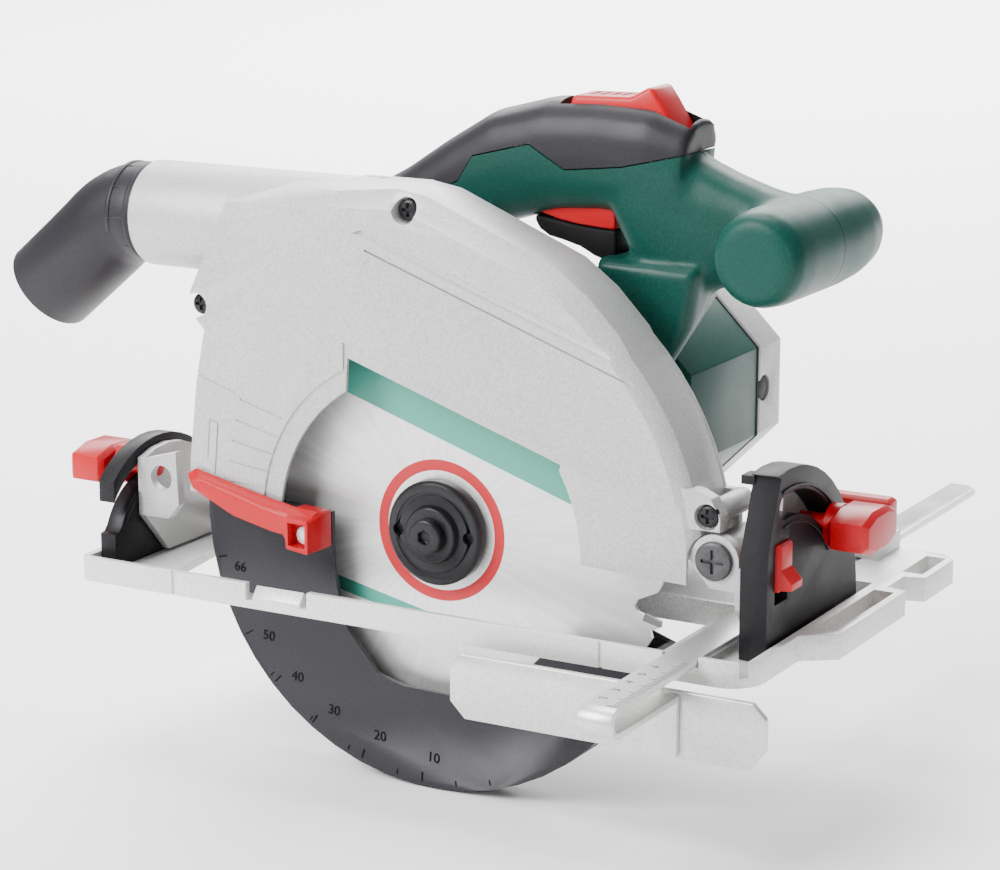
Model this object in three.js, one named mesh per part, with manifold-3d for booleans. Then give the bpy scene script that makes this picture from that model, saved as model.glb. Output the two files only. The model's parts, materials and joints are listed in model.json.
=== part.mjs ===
// Hand-held circular saw: tray-shaped base plate, bevel frame, depth pivot at the front,
// swinging lower guard, two-stage gearbox and a sliding parallel guide.
// Millimetres. X runs forward along the cut, Y from the blade towards the motor, Z up.
// Base coordinates: x = 0 under the spindle, y = 0 in the blade plane, z = 0 on the underside.
// Head coordinates: the same, with z = 0 on the spindle axis.

import * as THREE from 'three';
import { mergeVertices } from 'three/addons/utils/BufferGeometryUtils.js';
import Module from 'manifold-3d';

const wasm = await Module();
wasm.setup();

// ---------------------------------------------------------------- driving dimensions
const GAP = 0.3;
const BLADE_R = 95;
const BLADE_T = 1.8;
const BLADE_BORE_R = 15;
const TOOTH_COUNT = 24;
const TOOTH_DEPTH = 9;
const CUT_DEPTH = 66;

const BASE_BEHIND = 26.4;
const BASE_AHEAD = 26;
const NOSE_LENGTH = 12;
const BASE_NEAR = -40;
const BASE_FAR = 127;
const RIM_HEIGHT = 9.5;
const RIM_WALL = 2.8;
const FLOOR_T = 3.5;
const OPENING_FAR = 24;
const RIM_FLANGE = 5;

const FENCE_WIDTH = 13;
const FENCE_T = 2.5;
const FENCE_NEAR = -104;
const FENCE_FAR = 235;
const FENCE_PLATE_T = 2.5;
const FENCE_PLATE_DROP = 24;
const FOLD_Y = -53;
const FOLD_R = 5.7;
const TAB_LOW = -22;

const BEVEL_Z = 7;
const BEVEL_MAX_DEG = 45;
const FRONT_QUADRANT_R = 63;
const FRONT_SLOT_R = 50;
const REAR_QUADRANT_R = 44;
const REAR_SLOT_R = 34;
const SLOT_WIDTH = 9;
const FRONT_QUADRANT_T = 10.4;
const REAR_QUADRANT_T = 7;
const SWIVEL_T = 3;
const FRONT_CLAMP_DEG = 46;
const REAR_CLAMP_DEG = -14;
const STOP_NEAR = -11.5;
const STOP_WIDTH = 11;
const STOP_LOW = 23;
const STOP_SLOT = 22;
const STOP_TRAVEL = 4.5;

const GUARD_CLEAR = 18;
const GUARD_WALL = 2.5;
const GUARD_NEAR = -17;
const GUARD_STEP = -12;
const GUARD_BACK = 12;
const LOWER_GUARD_CLEAR = 3.5;
const LOWER_GUARD_WALL = 2;
const LOWER_GUARD_NEAR = -10.5;
const LOWER_GUARD_BACK = 9.5;
const LEVER_SCREW_AT = [-47.5, 0, -3.5];
const LEVER_BAR_NEAR = -22.6;
const LEVER_BOX_NEAR = -24.5;
const SCREW_R = 2;
const SCREW_HEAD_R = 4.2;
const SCREW_HOLE_R = 2.3;
const SCREW_WELL_R = 4.8;
const FRONT_SCREW_RISE = 15.5;

const SPINDLE_R = 7;
const FLANGE_R = 20;
const GEAR_CASE_FAR = 46;
const CASE_WALL = 3;
const OUTPUT_GEAR_R = 20;
const MID_GEAR_R = 20;
const MID_PINION_R = 8.5;
const ARMATURE_PINION_R = 5.5;
const GEAR_MESH_GAP = 0.35;
const SHAFT_SLOPE_DEG = 48;
const NOSE_R = 19;
const NOSE_NEAR = 3;
const LUG_R = 7.5;
const BACK_T = 3;
const BEARING_R = 13;
const SMALL_BEARING_R = 9;
const BEARING_T = 7;
const FRONT_BEARING_NEAR = 4.5;
const REAR_BEARING_NEAR = 16;

const MOTOR_R = 42;
const MOTOR_NEAR = 49;
const MOTOR_FAR = 108;
const CAP_FAR = 135;
const MOTOR_WALL = 3;
const STATOR_CLEAR = 3;
const STATOR_T = 13;
const AIR_GAP = 1.5;
const COMMUTATOR_R = 12;
const BRUSH_R = 4.8;

const HANDLE_Y = 46;
const HANDLE_T = 34;
const T_HANDLE_R = 18;
const T_HANDLE_LENGTH = 96;
const T_HANDLE_X = 122;
const T_HANDLE_Z = 111;
const TRIGGER_HALF = 8;
const TRIGGER_TOP = 127.5;
const TRIGGER_TRAVEL = 5;
const LOCK_OFF = [[31, 152], [78, 148], [70, 160.5], [66, 166], [58, 161.5], [34, 161]];
const LOCK_OFF_HALF = 9;
const LOCK_TRAVEL = 4;
const GLAND_R = 7;
const GLAND_Z = 107;
const TUBE_R = 20.5;
const TUBE_WALL = 2;
const TUBE_Y = 6;
const TUBE_DROP = 21;
const TUBE_REAR = -131;
const TUBE_FRONT = -30;
const ELBOW_R = 19.5;

const PIVOT_AHEAD = 24;
const PIVOT_Z = 8;
const PIVOT_PIN_R = 4;
const EAR_R = 9.4;
const ARC_Y = 30;
const ARC_T = 3;
const ARC_SPAN_DEG = 28;
const ARC_START_DEG = -3;
const CLAMP_BOLT_R = 3.5;

// ---------------------------------------------------------------- derived sizes
const SPINDLE_Z = BLADE_R - CUT_DEPTH;
const GUARD_R = BLADE_R + GUARD_CLEAR;
const LOWER_GUARD_R = BLADE_R + LOWER_GUARD_CLEAR;
const SOLE_MIDDLE = (OPENING_FAR + BASE_FAR) / 2;
const OPENING_REAR = -(GUARD_R - 7);
const OPENING_FRONT = LOWER_GUARD_R + 4;
const PIVOT_X = BLADE_R + PIVOT_AHEAD;
const PIVOT_BASE_Z = SPINDLE_Z + PIVOT_Z;
const BASE_REAR = -GUARD_R - BASE_BEHIND;
const BASE_FRONT = PIVOT_X + BASE_AHEAD;
const BASE_NOSE = BASE_FRONT + NOSE_LENGTH;
const FENCE_X = PIVOT_X - 0.4;
const FENCE_TOP = RIM_HEIGHT - 0.5;
const GUARD_REAR = GUARD_R - 9;
const FACE_R = GUARD_R - 4;
const ROOF_Z = GUARD_R + 17;
const TUBE_Z = ROOF_Z - TUBE_DROP;
const FRONT_QUADRANT_X = BASE_FRONT - RIM_WALL - 1.2 - FRONT_QUADRANT_T;
const REAR_QUADRANT_X = BASE_REAR + RIM_WALL + 1;
const ARC_R = PIVOT_X + GUARD_R - 4;
const MID_DISTANCE = OUTPUT_GEAR_R + MID_PINION_R + GEAR_MESH_GAP;
const ARMATURE_DISTANCE = MID_GEAR_R + ARMATURE_PINION_R + GEAR_MESH_GAP;
const SLOPE = THREE.MathUtils.degToRad(SHAFT_SLOPE_DEG);
const MID_X = MID_DISTANCE * Math.cos(SLOPE);
const MID_Z = MID_DISTANCE * Math.sin(SLOPE);
const MOTOR_X = (MID_DISTANCE + ARMATURE_DISTANCE) * Math.cos(SLOPE);
const MOTOR_Z = (MID_DISTANCE + ARMATURE_DISTANCE) * Math.sin(SLOPE);
const GEAR_CASE_R = OUTPUT_GEAR_R + 2 + CASE_WALL;
const BEARING_FAR = REAR_BEARING_NEAR + BEARING_T + 0.5;
const COVER_NEAR = GEAR_CASE_FAR + GAP;
const COVER_FAR = MOTOR_NEAR - GAP;
const SPINDLE_FAR = GEAR_CASE_FAR - 1;
const BRUSH_SIDES = [-1, 1];
const BRUSH_Y = MOTOR_FAR + 8;
const STATOR_R = MOTOR_R - MOTOR_WALL - STATOR_CLEAR;
const STATOR_BORE_R = STATOR_R - STATOR_T;
const ROTOR_R = STATOR_BORE_R - AIR_GAP;
const HALF_T = HANDLE_T / 2;
const FRONT_SCREW_AT = [PIVOT_X - 3, 0, PIVOT_Z + FRONT_SCREW_RISE];
const LOCK_PIN_AT = [-28, 24, GEAR_CASE_R - 14];

// ---------------------------------------------------------------- materials
const finish = (color, roughness, metalness) =>
  new THREE.MeshStandardMaterial({ color, roughness, metalness });
const CAST_GREY = finish(0xc4c4c2, 0.55, 0.2);
const CAST_BASE = finish(0xd6d6d4, 0.5, 0.4);
const STEEL = finish(0xb9bcbe, 0.3, 0.9);
const DARK_STEEL = finish(0x2c2d30, 0.45, 0.7);
const GREEN = finish(0x0d6450, 0.55, 0.0);
const BLACK = finish(0x232326, 0.6, 0.0);
const SOFT_BLACK = finish(0x1e1e20, 0.85, 0.0);
const GUARD_GREY = finish(0x3c3c40, 0.55, 0.2);
const RED = finish(0xd01426, 0.4, 0.0);
const COPPER = finish(0xb06a3c, 0.45, 0.7);

// ---------------------------------------------------------------- shape tools
function radians(degrees) {
  return THREE.MathUtils.degToRad(degrees);
}

// A closed triangle soup becomes a solid with its faces pointing out.
function solid(shape) {
  if (!shape.isBufferGeometry) return shape;
  const plain = shape.clone();
  plain.deleteAttribute('normal');
  plain.deleteAttribute('uv');
  const merged = mergeVertices(plain, 1e-4);
  const points = merged.attributes.position.array;
  const source = merged.index.array;
  const triangles = [];
  let volume = 0;
  const a = new THREE.Vector3();
  const b = new THREE.Vector3();
  const c = new THREE.Vector3();
  for (let i = 0; i < source.length; i += 3) {
    const [p, q, r] = [source[i], source[i + 1], source[i + 2]];
    if (p === q || q === r || r === p) continue;
    triangles.push(p, q, r);
    a.fromArray(points, 3 * p);
    b.fromArray(points, 3 * q);
    c.fromArray(points, 3 * r);
    volume += a.dot(b.cross(c));
  }
  if (volume < 0) triangles.reverse();
  const mesh = new wasm.Mesh({
    numProp: 3,
    vertProperties: new Float32Array(points),
    triVerts: new Uint32Array(triangles),
  });
  return new wasm.Manifold(mesh);
}

function join(first, ...rest) {
  return rest.reduce((sum, next) => sum.add(solid(next)), solid(first));
}

function cut(first, ...rest) {
  return rest.reduce((left, next) => left.subtract(solid(next)), solid(first));
}

function common(first, second) {
  return solid(first).intersect(solid(second));
}

function toGeometry(shape) {
  const mesh = solid(shape).getMesh();
  const geometry = new THREE.BufferGeometry();
  geometry.setAttribute('position', new THREE.BufferAttribute(mesh.vertProperties, 3));
  geometry.setIndex(new THREE.BufferAttribute(mesh.triVerts, 1));
  geometry.computeVertexNormals();
  return geometry;
}

function piece(name, shape, material) {
  const mesh = new THREE.Mesh(toGeometry(shape), material);
  mesh.name = name;
  return mesh;
}

function toShape(outline) {
  if (outline.isShape) return outline;
  return new THREE.Shape(outline.map(([u, v]) => new THREE.Vector2(u, v)));
}

// Turns a shape drawn in (u, v) and extruded along w so that w runs along the axis.
function alongAxis(geometry, axis, low, high) {
  if (axis === 'y') {
    geometry.rotateX(Math.PI / 2);
    geometry.translate(0, high, 0);
  } else if (axis === 'x') {
    const turn = new THREE.Matrix4().makeBasis(
      new THREE.Vector3(0, 1, 0), new THREE.Vector3(0, 0, 1), new THREE.Vector3(1, 0, 0));
    geometry.applyMatrix4(turn);
    geometry.translate(low, 0, 0);
  } else {
    geometry.translate(0, 0, low);
  }
  return geometry;
}

// Outline in (x, z) for axis y, in (y, z) for axis x and in (x, y) for axis z.
function prism(outline, axis, low, high) {
  const options = { depth: high - low, bevelEnabled: false, curveSegments: 10 };
  return alongAxis(new THREE.ExtrudeGeometry(toShape(outline), options), axis, low, high);
}

// The same, with its edges rounded by `round` inside the outline.
function softPrism(outline, axis, low, high, round, steps = 1) {
  const options = {
    depth: high - low - 2 * round, bevelEnabled: true, bevelThickness: round,
    bevelSize: round, bevelOffset: -round, bevelSegments: steps, curveSegments: 8,
  };
  const geometry = new THREE.ExtrudeGeometry(toShape(outline), options);
  geometry.translate(0, 0, round);
  return alongAxis(geometry, axis, low, high);
}

function block(x0, x1, y0, y1, z0, z1) {
  const box = new THREE.BoxGeometry(x1 - x0, y1 - y0, z1 - z0);
  return box.translate((x0 + x1) / 2, (y0 + y1) / 2, (z0 + z1) / 2);
}

// Profile of [radius, height] pairs, starting and ending on the axis or closing on itself.
function turned(profile, axis, at = [0, 0, 0], segments = 24) {
  const points = profile.map(([r, h]) => new THREE.Vector2(r, h));
  const geometry = new THREE.LatheGeometry(points, segments);
  if (axis === 'x') geometry.rotateZ(-Math.PI / 2);
  if (axis === 'z') geometry.rotateX(Math.PI / 2);
  return geometry.translate(...at);
}

function rod(r, axis, low, high, at = [0, 0, 0], segments = 24) {
  return turned([[0, low], [r, low], [r, high], [0, high]], axis, at, segments);
}

function ring(inner, outer, axis, low, high, at = [0, 0, 0], segments = 24) {
  const profile = [[inner, low], [outer, low], [outer, high], [inner, high], [inner, low]];
  return turned(profile, axis, at, segments);
}

function arcPoints(cu, cv, r, fromDeg, toDeg, steps) {
  const points = [];
  for (let i = 0; i <= steps; i += 1) {
    const angle = radians(fromDeg + (toDeg - fromDeg) * i / steps);
    points.push([cu + r * Math.cos(angle), cv + r * Math.sin(angle)]);
  }
  return points;
}

function bandOutline(cu, cv, inner, outer, fromDeg, toDeg, steps) {
  return [
    ...arcPoints(cu, cv, outer, fromDeg, toDeg, steps),
    ...arcPoints(cu, cv, inner, toDeg, fromDeg, steps),
  ];
}

// A curved slot with round ends, as cut by a bolt of the given width.
function slotOutline(cu, cv, r, width, fromDeg, toDeg, steps) {
  const half = width / 2;
  const end = (deg, turnDeg) => arcPoints(
    cu + r * Math.cos(radians(deg)), cv + r * Math.sin(radians(deg)), half,
    deg + turnDeg, deg + turnDeg + 180, 5).slice(1, -1);
  return [
    ...arcPoints(cu, cv, r + half, fromDeg, toDeg, steps),
    ...end(toDeg, 0),
    ...arcPoints(cu, cv, r - half, toDeg, fromDeg, steps),
    ...end(fromDeg, 180),
  ];
}

// Degrees measured from straight up, positive towards +Y, as a point in (y, z).
function fromVertical(deg, r) {
  return [r * Math.sin(radians(deg)), BEVEL_Z + r * Math.cos(radians(deg))];
}

function gearOutline(cu, cv, tipR, teeth) {
  const depth = tipR * 0.12;
  const points = [];
  for (let i = 0; i < teeth; i += 1) {
    const step = 360 / teeth;
    points.push(...arcPoints(cu, cv, tipR - depth, step * i, step * (i + 0.4), 1));
    points.push(...arcPoints(cu, cv, tipR, step * (i + 0.55), step * (i + 0.85), 1));
  }
  return points;
}

// ---------------------------------------------------------------- base
function baseOutline() {
  return [
    ...arcPoints(BASE_REAR + 4, BASE_NEAR + 4, 4, 180, 270, 3),
    ...arcPoints(BASE_FRONT - 13, BASE_NEAR + 13, 13, 270, 360, 5),
    [BASE_FRONT, 1], [BASE_NOSE, 10], [BASE_NOSE, 72],
    [BASE_NOSE - 8, 74], [BASE_NOSE - 8, 90], [BASE_NOSE, 92],
    [BASE_NOSE, BASE_FAR - 6], [BASE_NOSE - 6, BASE_FAR],
    [BASE_REAR + 6, BASE_FAR], [BASE_REAR, BASE_FAR - 6],
  ];
}

// Shallow bays between the tray's ribs; each leaves the floor standing.
function basePockets() {
  const top = RIM_HEIGHT + 1;
  const far = BASE_FAR - RIM_WALL;
  const rear = BASE_REAR + RIM_WALL;
  const front = BASE_FRONT - RIM_WALL;
  const bay = (x0, x1, y0, y1) => block(x0, x1, y0, y1, FLOOR_T, top);
  const beside = OPENING_FAR + 3;
  const seam = OPENING_FAR - 1;
  return [
    bay(rear, front, BASE_NEAR + RIM_WALL, OPENING_FAR),
    bay(rear, -72, beside, far),
    bay(-69, -14, beside, far),
    bay(-11, 44, beside, far),
    bay(47, 108, beside, far),
    bay(rear, OPENING_REAR - 6, seam, OPENING_FAR + 4),
    bay(-GEAR_CASE_R - 6, GEAR_CASE_R + 6, seam, GEAR_CASE_FAR + 12),
    bay(FRONT_QUADRANT_X - 14, front, seam, 76),
    bay(BASE_FRONT + 1, BASE_NOSE - 3, 14, 68),
    bay(BASE_FRONT + 1, BASE_NOSE - 3, 96, far - 3),
  ];
}

function basePlate() {
  const above = RIM_HEIGHT + 1;
  const openingNear = BASE_NEAR + RIM_WALL + RIM_FLANGE;
  const opening = prism([
    [OPENING_REAR, openingNear], [OPENING_FRONT, openingNear],
    [OPENING_FRONT, OPENING_FAR], [OPENING_REAR - 8, OPENING_FAR],
  ], 'z', -1, above);
  const halfFence = FENCE_WIDTH / 2 + 0.4;
  const fenceFloor = FENCE_TOP - FENCE_T - 0.4;
  const fenceSlot = block(FENCE_X - halfFence, FENCE_X + halfFence, BASE_NEAR - 1, BASE_FAR + 1,
    fenceFloor, above);
  const notch = block(-62, -35, BASE_NEAR - 1, BASE_NEAR + RIM_WALL + 0.5, 3, above);
  const lug = prism([
    [BASE_NEAR, 2], [BASE_NEAR, 4.5], [BASE_NEAR + 3.2, 8.4], [BASE_NEAR + 4.8, 6.8],
    [BASE_NEAR + 4, FLOOR_T - 1],
  ], 'x', -59, -38);
  const grooves = [-95.1, 87.6].map((x) =>
    block(x - 0.8, x + 0.8, BASE_NEAR - 1, BASE_NEAR + 0.9, -1, above));
  const clampBoss = block(FENCE_X - 14, FENCE_X + 14, BASE_FAR - 22, BASE_FAR, 0, 17);
  const clampSlot = block(FENCE_X - halfFence, FENCE_X + halfFence, BASE_FAR - 23, BASE_FAR + 1,
    fenceFloor, RIM_HEIGHT + 0.3);
  const clampHole = rod(3.4, 'z', 0, 20, [FENCE_X, BASE_FAR - 11, RIM_HEIGHT], 16);
  const tray = cut(prism(baseOutline(), 'z', 0, RIM_HEIGHT), ...basePockets(), opening, fenceSlot,
    notch, ...grooves);
  return cut(join(tray, lug, clampBoss), clampSlot, clampHole);
}

// Sector-shaped plate with the curved clamp slot; it stands on the tray floor.
function quadrant(x, thickness, radius, slotR, clampDeg, near, far) {
  const bottom = FLOOR_T + GAP;
  const reach = Math.min(far, radius);
  const arcFrom = Math.acos(reach / radius) * 180 / Math.PI;
  const arcTo = Math.acos(near / radius) * 180 / Math.PI;
  const outline = [
    [near, bottom], [reach, bottom],
    ...arcPoints(0, BEVEL_Z, radius, arcFrom, arcTo, 14),
  ];
  const slot = slotOutline(0, BEVEL_Z, slotR, SLOT_WIDTH,
    90 - clampDeg - 6, 90 - clampDeg + BEVEL_MAX_DEG + 6, 10);
  return cut(prism(outline, 'x', x, x + thickness), prism(slot, 'x', x - 1, x + thickness + 1));
}

// A hook at the top of the near edge reaches back over the swivel bracket.
function frontQuadrant() {
  const near = -18;
  const far = 66;
  const x = FRONT_QUADRANT_X;
  const plate = quadrant(x, FRONT_QUADRANT_T, FRONT_QUADRANT_R, FRONT_SLOT_R, FRONT_CLAMP_DEG,
    near, far);
  const nearTrim = prism([[near - 1, 42], [near, 42], [near + 10, 68], [near - 1, 72]],
    'x', x - 1, x + FRONT_QUADRANT_T + 1);
  const hook = block(x - 4.2, x + 1, near + 8.5, near + 16, 64.8, 68);
  const stopWindow = block(x - 1, x + FRONT_QUADRANT_T + 1, STOP_NEAR, STOP_NEAR + STOP_WIDTH,
    STOP_LOW, STOP_LOW + STOP_SLOT);
  return cut(join(cut(plate, nearTrim), hook), stopWindow);
}

function bevelStop() {
  const face = FRONT_QUADRANT_X + FRONT_QUADRANT_T;
  const y0 = STOP_NEAR + GAP;
  const y1 = STOP_NEAR + STOP_WIDTH - GAP;
  const low = STOP_LOW + STOP_TRAVEL + GAP;
  const high = STOP_LOW + STOP_SLOT - GAP;
  const stem = block(face - FRONT_QUADRANT_T + 1, face + 1.2, y0, y1, low, high);
  const lip = prism([[face + 0.6, low + 0.5], [face + 6, low + 1], [face + 6, low + 3.5],
    [face + 2, low + 8], [face + 2, high - 0.5], [face + 0.6, high - 0.5]], 'y', y0 + 0.5, y1 - 0.5);
  return join(stem, lip);
}

function rearQuadrant() {
  const near = -31;
  const far = 40;
  return quadrant(REAR_QUADRANT_X, REAR_QUADRANT_T, REAR_QUADRANT_R, REAR_SLOT_R, REAR_CLAMP_DEG,
    near, far);
}

// Wing-shaped hand screw along X; `dir` is the side its wing points to.
function wingScrewX(x, dir, y, z, reach) {
  const turnTo = (offset) => x + dir * offset;
  const span = (a, b) => [Math.min(turnTo(a), turnTo(b)), Math.max(turnTo(a), turnTo(b))];
  const shank = rod(3.6, 'x', ...span(-reach, 1), [0, y, z], 12);
  const collar = rod(8, 'x', ...span(0, 5), [0, y, z], 16);
  const [low, high] = span(4, 20);
  const wing = softPrism([[y - 15, z - 5], [y - 6, z - 8], [y + 6, z - 8], [y + 15, z - 5],
    [y + 15, z + 5], [y + 6, z + 8], [y - 6, z + 8], [y - 15, z + 5]], 'x', low, high, 2);
  return join(shank, collar, wing);
}

function fenceClampScrew() {
  const at = [FENCE_X, BASE_FAR - 11, 0];
  const shank = rod(3, 'z', RIM_HEIGHT + 0.2, 26, at, 12);
  const hub = rod(6, 'z', 17.5, 24, at, 12);
  const wing = softPrism([[at[0] - 15, at[1] - 4], [at[0] + 15, at[1] - 4],
    [at[0] + 15, at[1] + 4], [at[0] - 15, at[1] + 4]], 'z', 22, 32, 1.5);
  return join(shank, hub, wing);
}

function makeBase() {
  const group = new THREE.Group();
  group.add(
    piece('base_plate', basePlate(), CAST_BASE),
    piece('front_bevel_quadrant', frontQuadrant(), BLACK),
    piece('rear_bevel_quadrant', rearQuadrant(), BLACK),
    piece('bevel_stop_slider', bevelStop(), RED),
    piece('fence_clamp_screw', fenceClampScrew(), RED),
  );
  return group;
}

// ---------------------------------------------------------------- parallel guide
// Flat bar folded back under itself at the near end, with a tab turned down for the plate.
function fenceBar() {
  const x0 = FENCE_X - FENCE_WIDTH / 2;
  const x1 = FENCE_X + FENCE_WIDTH / 2;
  const top = FENCE_TOP;
  const centre = [FENCE_NEAR + FOLD_R, top - FOLD_R];
  const lower = top - 2 * FOLD_R;
  const side = [
    [FENCE_FAR, top - FENCE_T], [FENCE_FAR, top],
    ...arcPoints(...centre, FOLD_R, 90, 270, 8),
    [FOLD_Y - FENCE_T, lower], [FOLD_Y - FENCE_T, TAB_LOW], [FOLD_Y, TAB_LOW],
    [FOLD_Y, lower + FENCE_T],
    ...arcPoints(...centre, FOLD_R - FENCE_T, 270, 90, 6),
  ];
  const corner = prism([[x1 + 1, FENCE_FAR + 1], [x1 - 6, FENCE_FAR + 1], [x1 + 1, FENCE_FAR - 6]],
    'z', top - FENCE_T - 1, top + 1);
  return cut(prism(side, 'x', x0, x1), corner);
}

function fencePlate() {
  const near = FOLD_Y + GAP;
  const top = 1;
  const bottom = top - FENCE_PLATE_DROP;
  return prism([[34, top - 5], [38, top], [152, top], [157, top - 5], [157, bottom + 8],
    [151, bottom], [40, bottom], [34, bottom + 6]], 'y', near, near + FENCE_PLATE_T);
}

function makeFence() {
  const group = new THREE.Group();
  group.add(
    piece('fence_bar', fenceBar(), STEEL),
    piece('fence_plate', fencePlate(), STEEL),
  );
  return group;
}

// ---------------------------------------------------------------- bevel frame
// Lower edge of a swivel plate: it clears the tray floor at the full bevel angle.
function swivelFoot(near, far) {
  const low = FLOOR_T + 1.5;
  return [[near, low + 1.2 - near], [-1, low], [far, low]];
}

function frontSwivel() {
  const x1 = FRONT_QUADRANT_X - 2 * GAP;
  const x0 = x1 - SWIVEL_T;
  const near = -14;
  const earTop = PIVOT_BASE_Z - 2;
  const outline = [...swivelFoot(near, 46),
    ...arcPoints(0, BEVEL_Z, FRONT_SLOT_R + 7, 38, 70, 5), [18, earTop], [near, earTop]];
  const clamp = fromVertical(FRONT_CLAMP_DEG, FRONT_SLOT_R);
  const plate = cut(prism(outline, 'x', x0, x1),
    rod(3.9, 'x', x0 - 1, x1 + 1, [0, clamp[0], clamp[1]], 16));
  const ear = prism([[PIVOT_X - 2, PIVOT_BASE_Z - 10.5], [x1, PIVOT_BASE_Z - 10.5], [x1, earTop],
    ...arcPoints(PIVOT_X, PIVOT_BASE_Z, EAR_R, -10, 190, 10)], 'y', near, near + 4.5);
  const hole = rod(PIVOT_PIN_R + GAP, 'y', near - 1, near + 5.5, [PIVOT_X, 0, PIVOT_BASE_Z], 20);
  return cut(join(plate, ear), hole);
}

function rearSwivel() {
  const x0 = REAR_QUADRANT_X + REAR_QUADRANT_T + 2 * GAP;
  const x1 = x0 + SWIVEL_T;
  const near = -16;
  const outline = [...swivelFoot(near, 38), [38, 26],
    ...arcPoints(0, BEVEL_Z, REAR_SLOT_R + 7, 40, 113, 6)];
  const clamp = fromVertical(REAR_CLAMP_DEG, REAR_SLOT_R);
  const plate = cut(prism(outline, 'x', x0, x1),
    rod(3.9, 'x', x0 - 1, x1 + 1, [0, clamp[0], clamp[1]], 16));
  const cheek = prism([[x0, 22], [x0 + 14, 22], [x0 + 19, 28], [x0 + 18, 49], [x0, 44]],
    'y', near, near + 4);
  const window = rod(5, 'y', near - 1, near + 5, [x0 + 11, 0, 38], 16);
  return join(plate, cut(cheek, window));
}

function depthArc() {
  const half = 6;
  const from = 180 - ARC_START_DEG + 3.5;
  const to = 180 - ARC_START_DEG - ARC_SPAN_DEG - 3;
  const band = bandOutline(PIVOT_X, PIVOT_BASE_Z, ARC_R - half, ARC_R + half, from, to, 12);
  const slot = slotOutline(PIVOT_X, PIVOT_BASE_Z, ARC_R, 2 * CLAMP_BOLT_R + 1,
    to + 1.7, 180 - ARC_START_DEG + 0.7, 12);
  return cut(prism(band, 'y', ARC_Y, ARC_Y + ARC_T),
    prism(slot, 'y', ARC_Y - 1, ARC_Y + ARC_T + 1));
}

// Ties the lower end of the arc to the rear swivel bracket, on the motor side of the arc.
function depthArcBracket() {
  const x0 = REAR_QUADRANT_X + REAR_QUADRANT_T + SWIVEL_T + 3 * GAP;
  const near = ARC_Y + ARC_T + GAP;
  const arcFoot = PIVOT_BASE_Z - ARC_R * Math.sin(radians(3.5 - ARC_START_DEG));
  return block(x0, PIVOT_X - ARC_R + 6, near, near + 4, 8, arcFoot + 4.3);
}

function pivotScrew() {
  const at = [PIVOT_X, 0, PIVOT_BASE_Z];
  const shank = rod(PIVOT_PIN_R, 'y', -15, 14, at, 20);
  const head = turned([[0, -16.5], [6.2, -16.5], [7.2, -15.8], [7.2, -14.3], [0, -14.3]], 'y', at, 24);
  const slots = [block(-4.5, 4.5, -18, -15.6, -0.8, 0.8), block(-0.8, 0.8, -18, -15.6, -4.5, 4.5)]
    .map((slot) => slot.translate(at[0], 0, at[2]));
  return cut(join(shank, head), ...slots);
}

function makeBevelFrame() {
  const group = new THREE.Group();
  const front = fromVertical(FRONT_CLAMP_DEG, FRONT_SLOT_R);
  const rear = fromVertical(REAR_CLAMP_DEG, REAR_SLOT_R);
  const frontX = FRONT_QUADRANT_X + FRONT_QUADRANT_T + GAP + 0.3;
  const rearX = REAR_QUADRANT_X - GAP - 0.3;
  group.add(
    piece('front_swivel_bracket', frontSwivel(), CAST_GREY),
    piece('rear_swivel_bracket', rearSwivel(), CAST_GREY),
    piece('depth_arc', depthArc(), STEEL),
    piece('depth_arc_bracket', depthArcBracket(), CAST_GREY),
    piece('depth_pivot_screw', pivotScrew(), STEEL),
    piece('front_bevel_screw', wingScrewX(frontX, 1, front[0], front[1], FRONT_QUADRANT_T + 6), RED),
    piece('rear_bevel_screw', wingScrewX(rearX, -1, rear[0], rear[1], REAR_QUADRANT_T + 6), RED),
  );
  return group;
}

// ---------------------------------------------------------------- upper guard (head coordinates)
// Outer outline, inset by `inset`: rear wall, chip duct roof, sloping roof, round front.
function guardOutline(inset) {
  const slopeEnd = 42;
  const r = GUARD_R - inset;
  return [
    [-GUARD_REAR + inset, 8], [-GUARD_REAR + inset, 50], [-GUARD_REAR + 3 + inset, 84],
    [-84 + inset, GUARD_R + 8 - inset], [-40, ROOF_Z - inset], [-12, ROOF_Z - inset],
    ...arcPoints(0, 0, r + 1, slopeEnd + 4, -1, 10),
  ];
}

// Outline of the raised side face: its upper edge is the ledge line.
function faceOutline(inset) {
  const r = FACE_R - inset;
  return [
    [-GUARD_REAR + 1 + inset, 8], [-GUARD_REAR + 1 + inset, 50], [-GUARD_REAR + 4 + inset, 84],
    [-84 + inset, GUARD_R + 7 - inset], [-32, GUARD_R + 7 - inset], [-28, GUARD_R - 2 - inset],
    ...arcPoints(0, 0, r, 46, -1, 9),
  ];
}

function windowOutline() {
  const r = 67;
  return [
    ...arcPoints(0, 0, r, 186, 122, 8),
    [-31, 66], [55, 42],
    ...arcPoints(0, 0, r, 34, -12, 5),
    [r, -40], [-r, -40],
  ];
}

function guardScrewSpots() {
  return [[-6, ROOF_Z - 8], [-GUARD_REAR + 6, 79]];
}

// Takes the front cover screw and stands over the pivot ear.
function guardLug() {
  const low = PIVOT_Z + EAR_R + 0.6;
  const top = PIVOT_Z + 21.5;
  const rear = GUARD_R - 8;
  const front = PIVOT_X + 2.5;
  return prism([[rear, low], [front, low], [front, top - 4.5], [front - 3.1, top], [rear, top]],
    'y', GUARD_NEAR + 2, -8.2);
}

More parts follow.
